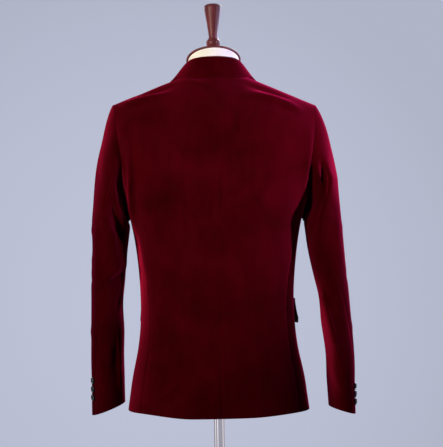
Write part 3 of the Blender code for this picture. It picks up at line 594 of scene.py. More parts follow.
def form_shoulder_z(x):
    seat = shoulder_z(FORM_PLATE_X) - FORM_SEAT_DROP
    return seat + FORM_SHOULDER_SLOPE * (FORM_PLATE_X - np.abs(x))


def arch_turn(x, z, line=shoulder_z):
    """Angle up the shoulder arch of the point of a section at this height."""
    rise = np.clip((z - ARCH_Z) / (line(x) - ARCH_Z), 0, 1)
    return np.arcsin(rise ** (ARCH_POWER / 2))


def torso_y(x, z, face):
    sign = 1 if face == "back_depth" else -1
    return sign * section_depth(x, z, face) * np.cos(arch_turn(x, z))


def over_arch(x, turn, face):
    """Point of the torso at x, at an angle up the shoulder arch."""
    sign = 1 if face == "back_depth" else -1
    z = ARCH_Z + np.abs(np.sin(turn)) ** (2 / ARCH_POWER) * (shoulder_z(x) - ARCH_Z)
    return stack(x, sign * section_depth(x, z, face) * np.cos(turn), z)


def torso_ring(angle, z):
    """Point of the torso at an angle round its axis: 0 at the centre back, 90 degrees at the side."""
    half_width = column(TORSO, "half_width", z)
    depth = np.where(np.cos(angle) > 0, column(TORSO, "back_depth", z), column(TORSO, "front_depth", z))
    power = column(TORSO, "squareness", z)
    across = (np.abs(np.sin(angle)) / half_width) ** power
    along = (np.abs(np.cos(angle)) / depth) ** power
    radius = (across + along) ** (-1 / power)
    x = radius * np.sin(angle)
    return stack(x, radius * np.cos(angle) * np.cos(arch_turn(x, z)), z)


def shoulder_top(x, y):
    """Height of the torso's upper side at a place in plan."""
    back = section_depth(x, NECK_POINT_Z, "back_depth")
    front = section_depth(x, NECK_POINT_Z, "front_depth")
    share = np.clip(np.abs(y) / np.where(y > 0, back, front), 0, 1)
    return ARCH_Z + (1 - share**2) ** (1 / ARCH_POWER) * (shoulder_z(x) - ARCH_Z)


def front_face(x, z):
    return stack(x, torso_y(x, z, "front_depth"), z)


def roll_x(z):
    """Roll line of the lapel, from the break to the neck point."""
    rise = np.clip((z - BREAK_Z) / (NECK_POINT_Z - BREAK_Z), 0, 1)
    return BREAK_X + (NECK_POINT_X - BREAK_X) * rise**ROLL_BOW


def front_edge_x(z):
    return np.where(z < BREAK_Z, column(FRONT_EDGE, "x", z), roll_x(z))


def padded(points):
    """Torso padded out towards the back of the armhole, so that it runs on into the sleeve."""
    depth = crease_height(ARMHOLE_FILL, points[..., 0], points[..., 2])
    return points + stack(0, depth * ease(points[..., 1] / ARMHOLE_FILL_FADE), 0)


def back_panel(across, up):
    """Back panel: across from the centre seam out, up 0 to 1 to the armhole, then to 2 over the shoulder."""
    z = HEM_Z + np.minimum(up, 1) * (BACK_JOIN_Z - HEM_Z)
    x = across * column(BACK_SEAM, "x", z)
    lower = stack(x, torso_y(x, z, "back_depth"), z)
    rise = np.maximum(up - 1, 0)
    x = across * column(BACK_ARMHOLE, "x", rise, "rise")
    neck_y = NECK_BACK_Y * np.sqrt(np.maximum(1 - (x / NECK_POINT_X) ** 2, 0))
    end = np.arccos(neck_y / section_depth(x, NECK_POINT_Z, "back_depth"))
    start = arch_turn(x, BACK_JOIN_Z)
    upper = over_arch(x, start + rise * (end - start), "back_depth")
    return padded(np.where((up <= 1)[..., None], lower, upper))


def front_panel(across, up):
    """Front panel: across from the side to the front edge, up as on the back."""
    z = HEM_Z + np.minimum(up, 1) * (FRONT_JOIN_Z - HEM_Z)
    outer = column(FRONT_SEAM, "x", z)
    x = outer + across * (front_edge_x(z) - outer)
    lower = front_face(x, z)
    rise = np.maximum(up - 1, 0)

    def turn(x):
        start = arch_turn(x, FRONT_JOIN_Z)
        return start + rise * (math.pi / 2 - start)

    inner = np.full_like(rise, NECK_POINT_X)
    for _ in range(ROLL_PASSES):
        inner = roll_x(over_arch(inner, turn(inner), "front_depth")[..., 2])
    outer = column(FRONT_ARMHOLE, "x", rise, "rise")
    x = outer + across * (inner - outer)
    upper = over_arch(x, turn(x), "front_depth")
    return np.where((up <= 1)[..., None], lower, upper)


def side_panel(across, up):
    """Side panel: across from the back seam to the front seam, up from the hem to the underarm."""
    z = HEM_Z + up * (column(UNDERARM, "z", across, "across") - HEM_Z)
    back_x = column(BACK_SEAM, "x", z)
    front_x = column(FRONT_SEAM, "x", z)
    start = np.arctan2(back_x, section_depth(back_x, z, "back_depth"))
    end = math.pi - np.arctan2(front_x, section_depth(front_x, z, "front_depth"))
    return padded(torso_ring(start + across * (end - start), z))


# The armhole as one loop: down the back edge, under the arm, up the front edge
LOOP_BACK = 7
LOOP_UNDER = 13
LOOP_END = 20
FOREARM_SEAM = 15
LOOP_DETAIL = 12


def armhole(loop):
    """Point along the armhole loop, taken from the panel that has that stretch of it."""
    loop = np.mod(loop, LOOP_END)
    one = np.ones_like(loop)
    back = back_panel(one, 2 - np.minimum(loop, LOOP_BACK) / LOOP_BACK)
    side = side_panel(np.clip((loop - LOOP_BACK) / (LOOP_UNDER - LOOP_BACK), 0, 1), one)
    front = front_panel(0 * one, 1 + np.maximum(loop - LOOP_UNDER, 0) / (LOOP_END - LOOP_UNDER))
    below = np.where((loop < LOOP_UNDER)[..., None], side, front)
    return np.where((loop < LOOP_BACK)[..., None], back, below)


LOOP_SAMPLES = np.linspace(0, LOOP_END, LOOP_DETAIL * LOOP_END + 1)
LOOP_LENGTHS = np.cumsum(np.linalg.norm(np.diff(armhole(LOOP_SAMPLES), axis=0), axis=1))
LOOP_ANGLES = np.concatenate([[0], LOOP_LENGTHS / LOOP_LENGTHS[-1] * 2 * math.pi])


def ring_angle(loop):
    """Angle round the sleeve: 0 at its outer side, 90 degrees at its back."""
    turns = np.floor(loop / LOOP_END)
    return np.interp(loop - turns * LOOP_END, LOOP_SAMPLES, LOOP_ANGLES) + turns * 2 * math.pi


def tube(sleeve, loop, along):
    """Sleeve below the bicep: along from 0 at the bicep ring to 1 at the cuff."""
    rings = sleeve["rings"]
    z = rings["z"][-1] + along * (rings["z"][0] - rings["z"][-1])
    angle = ring_angle(loop) - sleeve["seam_turn"] * ease(along)
    x = column(rings, "centre_x", z) + column(rings, "half_width", z) * np.cos(angle)
    y = column(rings, "centre_y", z) + column(rings, "half_depth", z) * np.sin(angle)
    return stack(x, y, z - sleeve["cuff_tilt"] * ease(2 * along - 1) * np.cos(angle))


def fold_height(folds, points, angle):
    """Height of the largest folds on the back of a sleeve."""
    height = np.zeros(points.shape[:-1])
    for x0, z0, x1, z1, rise, width in zip(*folds.values()):
        run = np.array([x1 - x0, z1 - z0])
        offset = points[..., [0, 2]] - (x0, z0)
        share = np.clip(offset @ run / (run @ run), 0, 1)
        away = np.linalg.norm(offset - share[..., None] * run, axis=-1)
        height += rise * np.exp(-((away / width) ** 2))
    return height * ease(FOLD_FADE_RATE * np.sin(angle) + FOLD_FADE_START)


def sleeve_axis(rings, points):
    """Middle of the sleeve at the height of each point."""
    z = np.clip(points[..., 2], rings["z"][0], rings["z"][-1])
    return stack(column(rings, "centre_x", z), column(rings, "centre_y", z), points[..., 2])


def sleeve_surface(sleeve):
    """Whole sleeve: loop round the armhole, along 0 to 1 over the cap, then to 2 down to the cuff."""
    rings = sleeve["rings"]

    def surface(loop, along):
        angle = ring_angle(loop)
        under = np.sin(angle / 2) ** 2
        cap = {name: np.interp(under, SLEEVE_CAP["under"], SLEEVE_CAP[name]) for name in SLEEVE_CAP}
        out = cap["out"] + sleeve["head_puff"] * (1 - under)
        leave = unit(stack(out, SLEEVE_CAP_SPREAD * np.sin(angle), -cap["down"]))
        begin = armhole(loop)
        bicep = tube(sleeve, loop, np.zeros_like(along))
        arrive = unit(tube(sleeve, loop, np.full_like(along, SLOPE_STEP)) - bicep)
        reach = np.linalg.norm(bicep - begin, axis=-1, keepdims=True)
        t = np.minimum(along, 1)[..., None]
        near = begin + leave * reach * cap["near"][..., None]
        far = bicep - arrive * reach * cap["far"][..., None]
        upper = bezier(begin, near, far, bicep, t)
        lower = tube(sleeve, loop, np.maximum(along - 1, 0))
        points = np.where((along <= 1)[..., None], upper, lower)
        outward = points - sleeve_axis(rings, points)
        turn = np.arctan2(outward[..., 1], outward[..., 0])
        height = fold_height(sleeve["folds"], points, turn) * ease(along / FOLD_CAP_FADE)
        fill = crease_height(sleeve["fills"], points[..., 0], points[..., 2])
        fill *= ease(along / FILL_CAP_FADE) * ease(FOLD_FADE_RATE * np.sin(turn) + FOLD_FADE_START)
        return points + unit(outward) * height[..., None] + stack(0, fill, 0)

    return surface


def lapel_surface(name):
    """Lapel: across from the roll line to its outer edge, up from its foot to the gorge."""
    foot = LAPEL_FOOT_Z[name]
    break_foot = LAPEL_FOOT_Z["left"]

    def surface(across, up):
        level = foot + up * (LAPEL_TOP_Z - foot)
        z = level - GORGE_DROP * across * up
        inner = roll_x(z) - LAPEL_WRAP
        share = (level - break_foot) / (LAPEL_TOP_Z - break_foot)
        width = LAPEL_FOOT_WIDTH + (LAPEL_TOP_WIDTH - LAPEL_FOOT_WIDTH) * np.maximum(share, 0) ** LAPEL_BELLY
        outer = inner + width
        if name == "right":
            inner = np.maximum(inner, LAPEL_ROLL - inner)
        return front_face(inner + across * (outer - inner), z)

    return surface


def flap_surface(back_angle):
    """Pocket flap: across from its back end to its front end, up from its rounded lower edge."""

    def surface(across, up):
        corner = np.clip(np.minimum(across, 1 - across) / FLAP_CORNER_SHARE, 0, 1)
        bottom = FLAP_BOTTOM_Z + FLAP_CORNER * (1 - np.sqrt(corner * (2 - corner)))
        z = bottom + up * (FLAP_TOP_Z - bottom)
        return torso_ring(back_angle + across * FLAP_SPREAD, z)

    return surface


def collar_station(station, name):
    """A line of the collar, mirrored behind the centre back."""
    both = np.concatenate([-COLLAR["station"][:0:-1], COLLAR["station"]])
    sign = -1 if name.endswith("_x") else 1
    values = np.concatenate([sign * COLLAR[name][:0:-1], COLLAR[name]])
    return curve(both, values, station)


def collar_line(station, name):
    return stack(*(collar_station(station, f"{name}_{axis}") for axis in "xyz"))


def stand_surface(across, up):
    """Collar stand: across is the station round the neck, up from its foot to the fold."""
    foot = collar_line(across, "foot")
    return foot + up[..., None] * (collar_line(across, "fold") - foot)


def leaf_surface(across, up):
    """Collar leaf: across is the station round the neck, up from the fold over and down to its edge."""
    cloth_thickness = bpy.context.scene.blazer_cloth.thickness
    fold = collar_line(across, "fold")
    edge_x = collar_station(across, "edge_x")
    edge_y = collar_station(across, "edge_y")
    edge = stack(edge_x, edge_y, shoulder_top(edge_x, edge_y) + COLLAR_LIFT)
    away = unit((edge - fold) * (1, 1, 0))
    begin = fold + (0, 0, cloth_thickness + LAID_GAP)
    near = begin + away * COLLAR_CREST
    far = edge + COLLAR_DROP_SHARE * (fold - edge) + away * COLLAR_SWELL
    return bezier(begin, near, far, edge, up[..., None])


def form_ring(z, angles):
    """Level section of the dress form, inside the cloth and flat at the armholes."""
    seat_x = FORM_PLATE_X + (form_shoulder_z(FORM_PLATE_X) - z) / FORM_SHOULDER_SLOPE
    half = min(column(TORSO, "half_width", z) - FORM_SIDE_EASE, FORM_PLATE_X, seat_x)
    x = half * np.sin(angles)
    turn = np.cos(arch_turn(x, z, form_shoulder_z))
    back = section_depth(x, z, "back_depth", FORM_BACK_EASE) * turn
    front = section_depth(x, z, "front_depth", FORM_FRONT_EASE) * turn
    return stack(x, np.where(np.cos(angles) > 0, back, -front), z)


def neck_ring(share, angles):
    """Section of the neck between its base and the slanted plane under the cap."""
    half = NECK_HALF_WIDTH + (NECK_BASE_HALF_WIDTH - NECK_HALF_WIDTH) * (1 - share) ** 2
    y = NECK_CENTRE_Y + NECK_HALF_DEPTH * np.cos(angles)
    top = NECK_TOP_Z + math.tan(NECK_TILT) * (y - NECK_CENTRE_Y)
    return stack(half * np.sin(angles), y, NECK_BASE_Z + share * (top - NECK_BASE_Z))


def normals_of(surface, across, up):
    """Directions square to a surface, from the slopes either side of each point."""
    along = surface(across + SLOPE_STEP, up) - surface(across - SLOPE_STEP, up)
    rising = surface(across, up + SLOPE_STEP) - surface(across, up - SLOPE_STEP)
    return unit(np.cross(along, rising))


def settled(points):
    """The right shoulder hangs a little lower, the cloth and the form under it alike."""
    reach = (-points[..., 0] - RIGHT_DROP_START_X) / (RIGHT_DROP_END_X - RIGHT_DROP_START_X)
    rise = (points[..., 2] - RIGHT_DROP_FOOT_Z) / (shoulder_z(RIGHT_DROP_END_X) - RIGHT_DROP_FOOT_Z)
    drop = RIGHT_SHOULDER_DROP * np.clip(reach, 0, 1) * ease(rise)
    return points - stack(0, 0, drop)


def hem_swing(points):
    """The hem swings up a little towards both sides."""
    x, z = points[..., 0], points[..., 2]
    rise = np.where(x > 0, *HEM_RISE) * ease((np.abs(x) - HEM_RISE_START_X) / HEM_RISE_SPAN)
    return points + stack(0, 0, rise * (1 - ease((z - HEM_Z) / HEM_RISE_HEIGHT)))


def from_edge(values, edge):
    """A grid turned so that the named edge is its first column; the same turn brings it back."""
    return {
        "start": values,
        "end": values[:, ::-1],
        "first": values.swapaxes(0, 1),
        "last": values[::-1, ::-1].swapaxes(0, 1),
    }[edge]


def edge_distance(points, edge):
    """Distance of each point of a grid from one of its edges, along the grid."""
    gaps = np.linalg.norm(np.diff(from_edge(points, edge), axis=1), axis=-1)
    return from_edge(np.pad(np.cumsum(gaps, axis=1), ((0, 0), (1, 0))), edge)


def waves(points, length, seed):
    """Slow uneven waves, for cloth that doesn't lie quite smooth."""
    draw = np.random.default_rng(seed)
    height = np.zeros(points.shape[:-1])
    for _ in range(WAVE_TERMS):
        way = unit(draw.normal(size=3)) / (length * draw.uniform(*WAVE_LENGTH_SHARES))
        height += np.sin(2 * math.pi * (points @ way + draw.uniform()))
    return height / math.sqrt(WAVE_TERMS)


def facing(turn):
    """Share of a crease table that a surface shows, by how far it is turned to that table's side."""
    return ease(FACING_RATE * turn + FACING_START)


def from_armhole(points):
    """0 at the armhole seam, 1 clear of it, so that the pieces that meet there stay together."""
    away = np.full(points.shape[:-1], np.inf)
    left_side = np.abs(points) * (1, 0, 1) + points * (0, 1, 0)
    for seam in armhole(LOOP_SAMPLES):
        away = np.minimum(away, np.linalg.norm(left_side - seam, axis=-1))
    return ease(away / SEAM_CLEAR)


def body_relief(points, normals):
    """Creases and waves of the body panels and of what is laid on them."""
    look = bpy.context.scene.blazer_cloth
    x, z = points[..., 0], points[..., 2]
    height = crease_height(BACK_CREASES, x, z) * facing(normals[..., 1])
    height += crease_height(FRONT_CREASES, x, z) * facing(-normals[..., 1])
    return look.crease_share * height + look.wave_height * waves(points, WAVE_LENGTH, BODY_SEED)


def sleeve_relief(name):
    """Creases and waves of one sleeve."""

    def relief(points, normals):
        look = bpy.context.scene.blazer_cloth
        x, y, z = np.abs(points[..., 0]), points[..., 1], points[..., 2]
        outward = np.sign(points[..., 0]) * normals[..., 0]
        height = crease_height(SLEEVE_CREASES[name], x, z) * facing(normals[..., 1])
        height += crease_height(SLEEVE_FRONT_CREASES, x, z) * facing(-normals[..., 1])
        height += crease_height(SLEEVE_SIDE_CREASES, y, z) * facing(outward)
        return look.crease_share * height + look.wave_height * waves(points, WAVE_LENGTH, SLEEVE_SEED)

    return relief


def sewn(points, seams):
    """Dip of the cloth into its seams, with small uneven puckers along them."""
    look = bpy.context.scene.blazer_cloth
    height = np.zeros(points.shape[:-1])
    for edge in seams.split():
        pucker = 1 + PUCKER_SHARE * waves(points, PUCKER_LENGTH, len(edge))
        height -= look.seam_depth * pucker * np.exp(-((edge_distance(points, edge) / look.seam_width) ** 2))
    return height


def turned_up(points, edge):
    """Small pulls where the turned-up hem is caught to the cloth."""
    away = (edge_distance(points, edge) - HEM_TURN_UP) / HEM_PULL_WIDTH
    return HEM_PULL * np.exp(-(away**2)) * (waves(points, HEM_PULL_LENGTH, HEM_SEED) - 1)


def flat_size(points):
    """Width, length and area of the flat cut that a smooth grid was laid out from."""
    rows = np.linalg.norm(np.diff(points, axis=1), axis=-1).sum(axis=1)
    columns = np.linalg.norm(np.diff(points, axis=0), axis=-1).sum(axis=0)
    diagonals = points[1:, 1:] - points[:-1, :-1], points[1:, :-1] - points[:-1, 1:]
    area = np.linalg.norm(np.cross(*diagonals), axis=-1).sum() / 2
    return float(rows.max()), float(columns.max()), float(area)


def put(name, verts, faces, materials, face_materials=None):
    """Put a smooth closed mesh in the scene, riding on the frame."""
    mesh = bpy.data.meshes.new(name)
    mesh.from_pydata([tuple(vert) for vert in verts], [], faces)
    for made in materials:
        mesh.materials.append(made)
    if face_materials is not None:
        mesh.polygons.foreach_set("material_index", face_materials)
    mesh_data = bmesh.new()
    mesh_data.from_mesh(mesh)
    bmesh.ops.recalc_face_normals(mesh_data, faces=mesh_data.faces)
    mesh_data.to_mesh(mesh)
    mesh_data.free()
    mesh.shade_smooth()
    mesh.set_sharp_from_angle(angle=SHARP_ANGLE)
    piece = bpy.data.objects.new(name, mesh)
    bpy.context.scene.collection.objects.link(piece)
    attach(piece, "root")
    return piece


def grid_faces(rows, columns):
    i, j = np.meshgrid(np.arange(rows - 1), np.arange(columns - 1), indexing="ij")
    corner = i * columns + j
    return np.stack([corner, corner + 1, corner + columns + 1, corner + columns], axis=-1).reshape(-1, 4)


def band(near, far):
    """Faces between two closed rows of points."""
    return np.stack([near, np.roll(near, -1), np.roll(far, -1), far], axis=-1)


def wall(name, outer, normals, hems, painted_light_key):
    """Cloth wall between a grid and its copy one thickness inside, with a rolled rim at its hems."""
    look = bpy.context.scene.blazer_cloth
    half = look.thickness / 2
    rows, columns = outer.shape[:2]
    ways = np.zeros_like(outer)
    for edge in hems.split():
        grid = from_edge(outer, edge)
        from_edge(ways, edge)[:, 0] += unit(grid[:, 0] - grid[:, 1])
    ways = unit(ways)
    index = np.arange(rows * columns).reshape(rows, columns)
    border = np.concatenate([index[0], index[1:, -1], index[-1, -2::-1], index[-2:0:-1, 0]])
    points, pile, out = (grid.reshape(-1, 3) for grid in (outer, normals, ways))
    inner = points - 2 * half * pile
    middle = points[border] - half * pile[border]
    rims = [middle + half * (math.cos(a) * pile[border] + math.sin(a) * out[border]) for a in RIM_ANGLES]
    verts = np.concatenate([points, inner, *rims])
    sheet = grid_faces(rows, columns)
    count = len(border)
    loops = [border, *(2 * len(points) + i * count + np.arange(count) for i in range(len(rims)))]
    loops.append(len(points) + border)
    rim_faces = [band(near, far) for near, far in zip(loops, loops[1:])]
    faces = np.concatenate([sheet, *rim_faces, sheet + len(points)])
    inside = np.zeros(len(faces), dtype=np.int32)
    inside[-len(sheet):] = 1
    finishes = (velvet_pile(painted_light_key), velvet_back())
    return put(name, verts, faces.tolist(), finishes, inside)


def torso_axis(points):
    return points * (0, 0, 1)


def cloth(node, surface, across, up, side=1, seams="", hems="", lift=None, relief=None, turn_up="",
          middle=torso_axis, held="draped", rests_on=("form_body",), painted_light_key="body", hang=None):
    """Velvet piece in place of a solid: a smooth surface, moved out by its lift and its relief."""
    across, up = np.meshgrid(across, up)
    points = surface(across, up)
    normals = normals_of(surface, across, up)
    normals *= np.sign(((points - middle(points)) * normals).sum())
    width, length, area = flat_size(points)
    mirror = np.array((side, 1, 1))
    points, normals = points * mirror, normals * mirror
    height = sewn(points, seams)
    if relief:
        height += relief(points, normals)
    height *= from_armhole(points)
    if lift:
        height += lift(points, across, up)
    if turn_up:
        height += turned_up(points, turn_up)
    hung = settled(points + normals * height[..., None])
    piece = wall(f"cloth_{node}", hang(hung) if hang else hung, normals, hems, painted_light_key)
    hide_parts(node)


def add(tree, kind, sockets=None, **settings):
    """Add a shader node; a socket's value is a number, a colour or the output that feeds it."""
    made = tree.nodes.new(kind)
    for name, value in settings.items():
        setattr(made, name, value)
    for name, value in (sockets or {}).items():
        if isinstance(value, bpy.types.NodeSocket):
            tree.links.new(value, made.inputs[name])
        else:
            made.inputs[name].default_value = value
    return made


def noise(tree, place, scale, detail=2.0, distortion=0.0, stretch=None):
    if stretch:
        place = add(tree, "ShaderNodeMapping", {"Vector": place, "Scale": stretch}).outputs["Vector"]
    sockets = {"Vector": place, "Scale": scale, "Detail": detail, "Distortion": distortion}
    return add(tree, "ShaderNodeTexNoise", sockets).outputs["Fac"]


def math_node(tree, operation, first, second):
    made = add(tree, "ShaderNodeMath", operation=operation)
    for socket, value in zip(made.inputs, (first, second)):
        if isinstance(value, bpy.types.NodeSocket):
            tree.links.new(value, socket)
        else:
            socket.default_value = value
    return made.outputs["Value"]


def blend_of(tree, *weighted):
    """Weighted sum of outputs."""
    total = None
    for weight, output in weighted:
        part = math_node(tree, "MULTIPLY", output, weight)
        total = part if total is None else math_node(tree, "ADD", total, part)
    return total


def ramp(tree, factor, *stops):
    made = add(tree, "ShaderNodeValToRGB", {"Fac": factor})
    elements = made.color_ramp.elements
    while len(elements) < len(stops):
        elements.new(0.5)
    for element, (place, colour) in zip(elements, stops):
        element.position = place
        element.color = (*colour, 1)
    return made.outputs["Color"]


def mixed(tree, share, first, second):
    """Colour between two outputs."""
    made = add(tree, "ShaderNodeMix", data_type="RGBA")
    colours = [socket for socket in made.inputs if socket.type == "RGBA"]
    for socket, output in zip((made.inputs[0], *colours), (share, first, second)):
        tree.links.new(output, socket)
    return next(socket for socket in made.outputs if socket.type == "RGBA")


def grey(value):
    return (value, value, value)


def weave_of(tree, place, scale):
    """Threads that cross, high where both are."""
    bands = []
    for way in "XZ":
        wave = add(tree, "ShaderNodeTexWave", {"Vector": place, "Scale": scale}, bands_direction=way)
        bands.append(wave.outputs["Fac"])
    return math_node(tree, "MULTIPLY", *bands)


def shaded(tone, share):
    return tuple(share * c for c in tone)


def shared(finish):
    """Make a finish once, under its own name, for all the pieces that ask for it."""

    def ask(*painted_light_key):
        name = "_".join((finish.__name__, *painted_light_key))
        return bpy.data.materials.get(name) or finish(name, *painted_light_key)

    return ask


def finish_of(name, **sockets):
    """Material with its constant values on the shader's own sockets."""
    made = bpy.data.materials.new(name)
    made.use_nodes = True
    shader = made.node_tree.nodes["Principled BSDF"]
    for socket, value in sockets.items():
        shader.inputs[socket.replace("_", " ")].default_value = value
    place = add(made.node_tree, "ShaderNodeTexCoord").outputs["Object"]
    return made, made.node_tree, shader, place


def dress(tree, shader, colour, roughness, height, strength, distance):
    """Feed a shader its colour, its roughness and its bump."""
    tree.links.new(colour, shader.inputs["Base Color"])
    tree.links.new(roughness, shader.inputs["Roughness"])
    bump = add(tree, "ShaderNodeBump", {"Height": height, "Strength": strength, "Distance": distance})
    tree.links.new(bump.outputs["Normal"], shader.inputs["Normal"])


@shared
def velvet_pile(name, painted_light_key):
    """Cut pile: dark when seen end on, with a painted sheen that brightens its colour along the edges and
    ridges, scaled by the painted light and shade of each piece and height.
    """
    look = bpy.context.scene.blazer_cloth
    made, tree, shader, place = finish_of(
        name,
        Sheen_Weight=look.sheen_weight,
        Sheen_Roughness=look.sheen_roughness,
        Sheen_Tint=(*look.sheen_colour, 1),
        Specular_IOR_Level=0.0,
    )
    brushed = noise(tree, place, 11.0, 3.0, 0.8)
    streaks = noise(tree, place, 60.0, 3.0, 0.4, (1.0, 1.0, 0.22))
    pile = noise(tree, place, 1500.0, 2.0)
    shade = blend_of(tree, (0.55, brushed), (0.25, streaks), (0.2, pile))
    # Painted sheen: the base colour turns towards a brighter edge tone where the surface is seen at a grazing
    # angle
    grazing = add(tree, "ShaderNodeLayerWeight", {"Blend": 0.5}).outputs["Facing"]
    turned = math_node(tree, "POWER", grazing, 2.0)
    # Painted light and shade of each piece: a share below 1 darkens its end-on tone as painted shade, and the
    # painted sheen is scaled by height, higher where the lights fall
    painted_shade_share, painted_sheen_shares = PAINTED_LIGHT_SHARES[painted_light_key]
    dark, light = (shaded(tone, painted_shade_share) for tone in (look.pile_dark, look.pile_light))
    end_on = ramp(tree, shade, (0.35, dark), (0.65, light))
    height = add(tree, "ShaderNodeSeparateXYZ", {"Vector": place}).outputs["Z"]
    level = math_node(tree, "DIVIDE", height, PAINTED_LIGHT_TOP_Z)
    stops = [(z / PAINTED_LIGHT_TOP_Z, shaded(look.pile_edge, share)) for z, share in painted_sheen_shares]
    painted_sheen = ramp(tree, level, *stops)
    colour = mixed(tree, turned, end_on, painted_sheen)
    roughness = ramp(tree, shade, (0.3, grey(0.9)), (0.7, grey(0.7)))
    tufts = blend_of(tree, (0.7, pile), (0.3, streaks))
    dress(tree, shader, colour, roughness, tufts, 0.35, 0.0006)
    return made


@shared
def velvet_back(name):
    """Wrong side of the velvet: a plain weave in the same dye."""
    look = bpy.context.scene.blazer_cloth
    made, tree, shader, place = finish_of(name, Specular_IOR_Level=0.15)
    weave = weave_of(tree, place, 420.0)
    patches = noise(tree, place, 25.0)
    shade = blend_of(tree, (0.6, weave), (0.4, patches))
    colour = ramp(tree, shade, (0.1, tuple(look.pile_dark)), (0.8, tuple(look.weave_colour)))
    roughness = ramp(tree, patches, (0.3, grey(0.75)), (0.7, grey(0.9)))
    dress(tree, shader, colour, roughness, weave, 0.3, 0.0003)
    return made


@shared
def button_gloss(name):
    """Glossy black button with faint clouds in it."""
    look = bpy.context.scene.blazer_trim
    made, tree, shader, place = finish_of(
        name, Coat_Weight=0.15, Coat_Roughness=0.08, Specular_IOR_Level=0.2
    )
    clouds = noise(tree, place, 260.0, 4.0, 1.2)
    dark = tuple(look.button_colour)
    colour = ramp(tree, clouds, (0.35, dark), (0.8, shaded(dark, 2.6)))
    roughness = ramp(tree, clouds, (0.2, grey(0.16)), (0.8, grey(0.3)))
    dress(tree, shader, colour, roughness, clouds, 0.08, 0.0002)
    return made


@shared
def sewing_thread(name):
    """Twisted thread in the velvet's dye."""
    look = bpy.context.scene.blazer_trim
    made, tree, shader, place = finish_of(name, Specular_IOR_Level=0.2)
    twist = noise(tree, place, 2600.0, 2.0)
    tone = tuple(look.thread_colour)
    colour = ramp(tree, twist, (0.3, shaded(tone, 0.6)), (0.7, tone))
    roughness = ramp(tree, twist, (0.3, grey(0.6)), (0.7, grey(0.8)))
    dress(tree, shader, colour, roughness, twist, 0.4, 0.0002)
    return made


@shared
def linen_cover(name):
    """White cloth cover of the form, in a close plain weave."""
    look = bpy.context.scene.blazer_stand
    made, tree, shader, place = finish_of(name, Specular_IOR_Level=0.2, Sheen_Weight=0.15)
    weave = weave_of(tree, place, 300.0)
    patches = noise(tree, place, 14.0, 3.0)
    white = tuple(look.linen_colour)
    shade = blend_of(tree, (0.35, weave), (0.65, patches))
    colour = ramp(tree, shade, (0.2, shaded(white, 0.9)), (0.6, white))
    roughness = ramp(tree, patches, (0.3, grey(0.8)), (0.7, grey(0.95)))
    dress(tree, shader, colour, roughness, weave, 0.15, 0.0003)
    return made


@shared
def stained_wood(name):
    """Dark stained wood with a satin varnish, its grain along the turning axis."""
    look = bpy.context.scene.blazer_stand
    made, tree, shader, place = finish_of(name, Specular_IOR_Level=0.22)
    grain = noise(tree, place, 120.0, 5.0, 0.6, (1.0, 1.0, 0.08))
    pores = noise(tree, place, 900.0, 3.0, 0.0, (1.0, 1.0, 0.05))
    shade = blend_of(tree, (0.75, grain), (0.25, pores))
    colour = ramp(tree, shade, (0.3, tuple(look.wood_dark)), (0.7, tuple(look.wood_light)))
    roughness = ramp(tree, shade, (0.3, grey(0.5)), (0.7, grey(0.36)))
    dress(tree, shader, colour, roughness, pores, 0.12, 0.0004)
    return made


@shared
def polished_chrome(name):
    """Chrome with faint wipe marks, darker towards its edges."""
    look = bpy.context.scene.blazer_stand
    made, tree, shader, place = finish_of(name, Metallic=1.0, Specular_Tint=(0.45, 0.38, 0.36, 1.0))
    wipe = noise(tree, place, 40.0, 4.0, 0.5, (1.0, 1.0, 0.1))
    tone = tuple(look.chrome_colour)
    colour = ramp(tree, wipe, (0.3, shaded(tone, 0.9)), (0.7, tone))
    roughness = ramp(tree, wipe, (0.3, grey(0.06)), (0.7, grey(0.16)))
    dress(tree, shader, colour, roughness, wipe, 0.02, 0.0003)
    return made


@shared
def base_paint(name):
    """Black satin paint with a little dust."""
    look = bpy.context.scene.blazer_stand
    made, tree, shader, place = finish_of(name, Metallic=0.2)
    speckle = noise(tree, place, 700.0, 3.0)
    dust = noise(tree, place, 18.0, 4.0)
    tone = tuple(look.base_colour)
    colour = ramp(tree, dust, (0.35, tone), (0.75, shaded(tone, 1.7)))
    roughness = ramp(tree, dust, (0.3, grey(0.38)), (0.7, grey(0.55)))
    dress(tree, shader, colour, roughness, speckle, 0.2, 0.0003)
    return made


@shared
def pale_floor(name):
    """Matte studio floor with a faint unevenness."""
    light = tuple(bpy.context.scene.blazer_stage.floor_colour)
    made, tree, shader, place = finish_of(name, Specular_IOR_Level=0.1)
    patches = noise(tree, place, 2.0, 4.0)
    colour = ramp(tree, patches, (0.3, shaded(light, 0.94)), (0.7, light))
    roughness = ramp(tree, patches, (0.3, grey(0.85)), (0.7, grey(0.95)))
    dress(tree, shader, colour, roughness, patches, 0.02, 0.001)
    return made


def ring_faces(count, segments, first=0):
    """Faces between rings of points, with a face over each end."""
    faces = []
    for ring in range(count - 1):
        low = first + ring * segments + np.arange(segments)
        faces += band(low, low + segments).tolist()
    faces.append(list(range(first, first + segments)))
    faces.append([first + (count - 1) * segments + i for i in range(segments)])
    return faces


def lathe(profile, segments, detail=1):
    """Rings of a piece turned about Z, from a table of radius and height."""
    marks = np.arange(len(profile["radius"]), dtype=float)
    at = np.linspace(0, marks[-1], detail * (len(marks) - 1) + 1)
    angles = np.arange(segments) * 2 * math.pi / segments
    radius = np.maximum(curve(marks, profile["radius"], at), LEAST_RADIUS)[:, None]
    height = curve(marks, profile["height"], at)[:, None]
    return stack(radius * np.cos(angles), radius * np.sin(angles), height)


def placed(points, place):
    matrix = np.array(place)
    return points @ matrix[:3, :3].T + matrix[:3, 3]


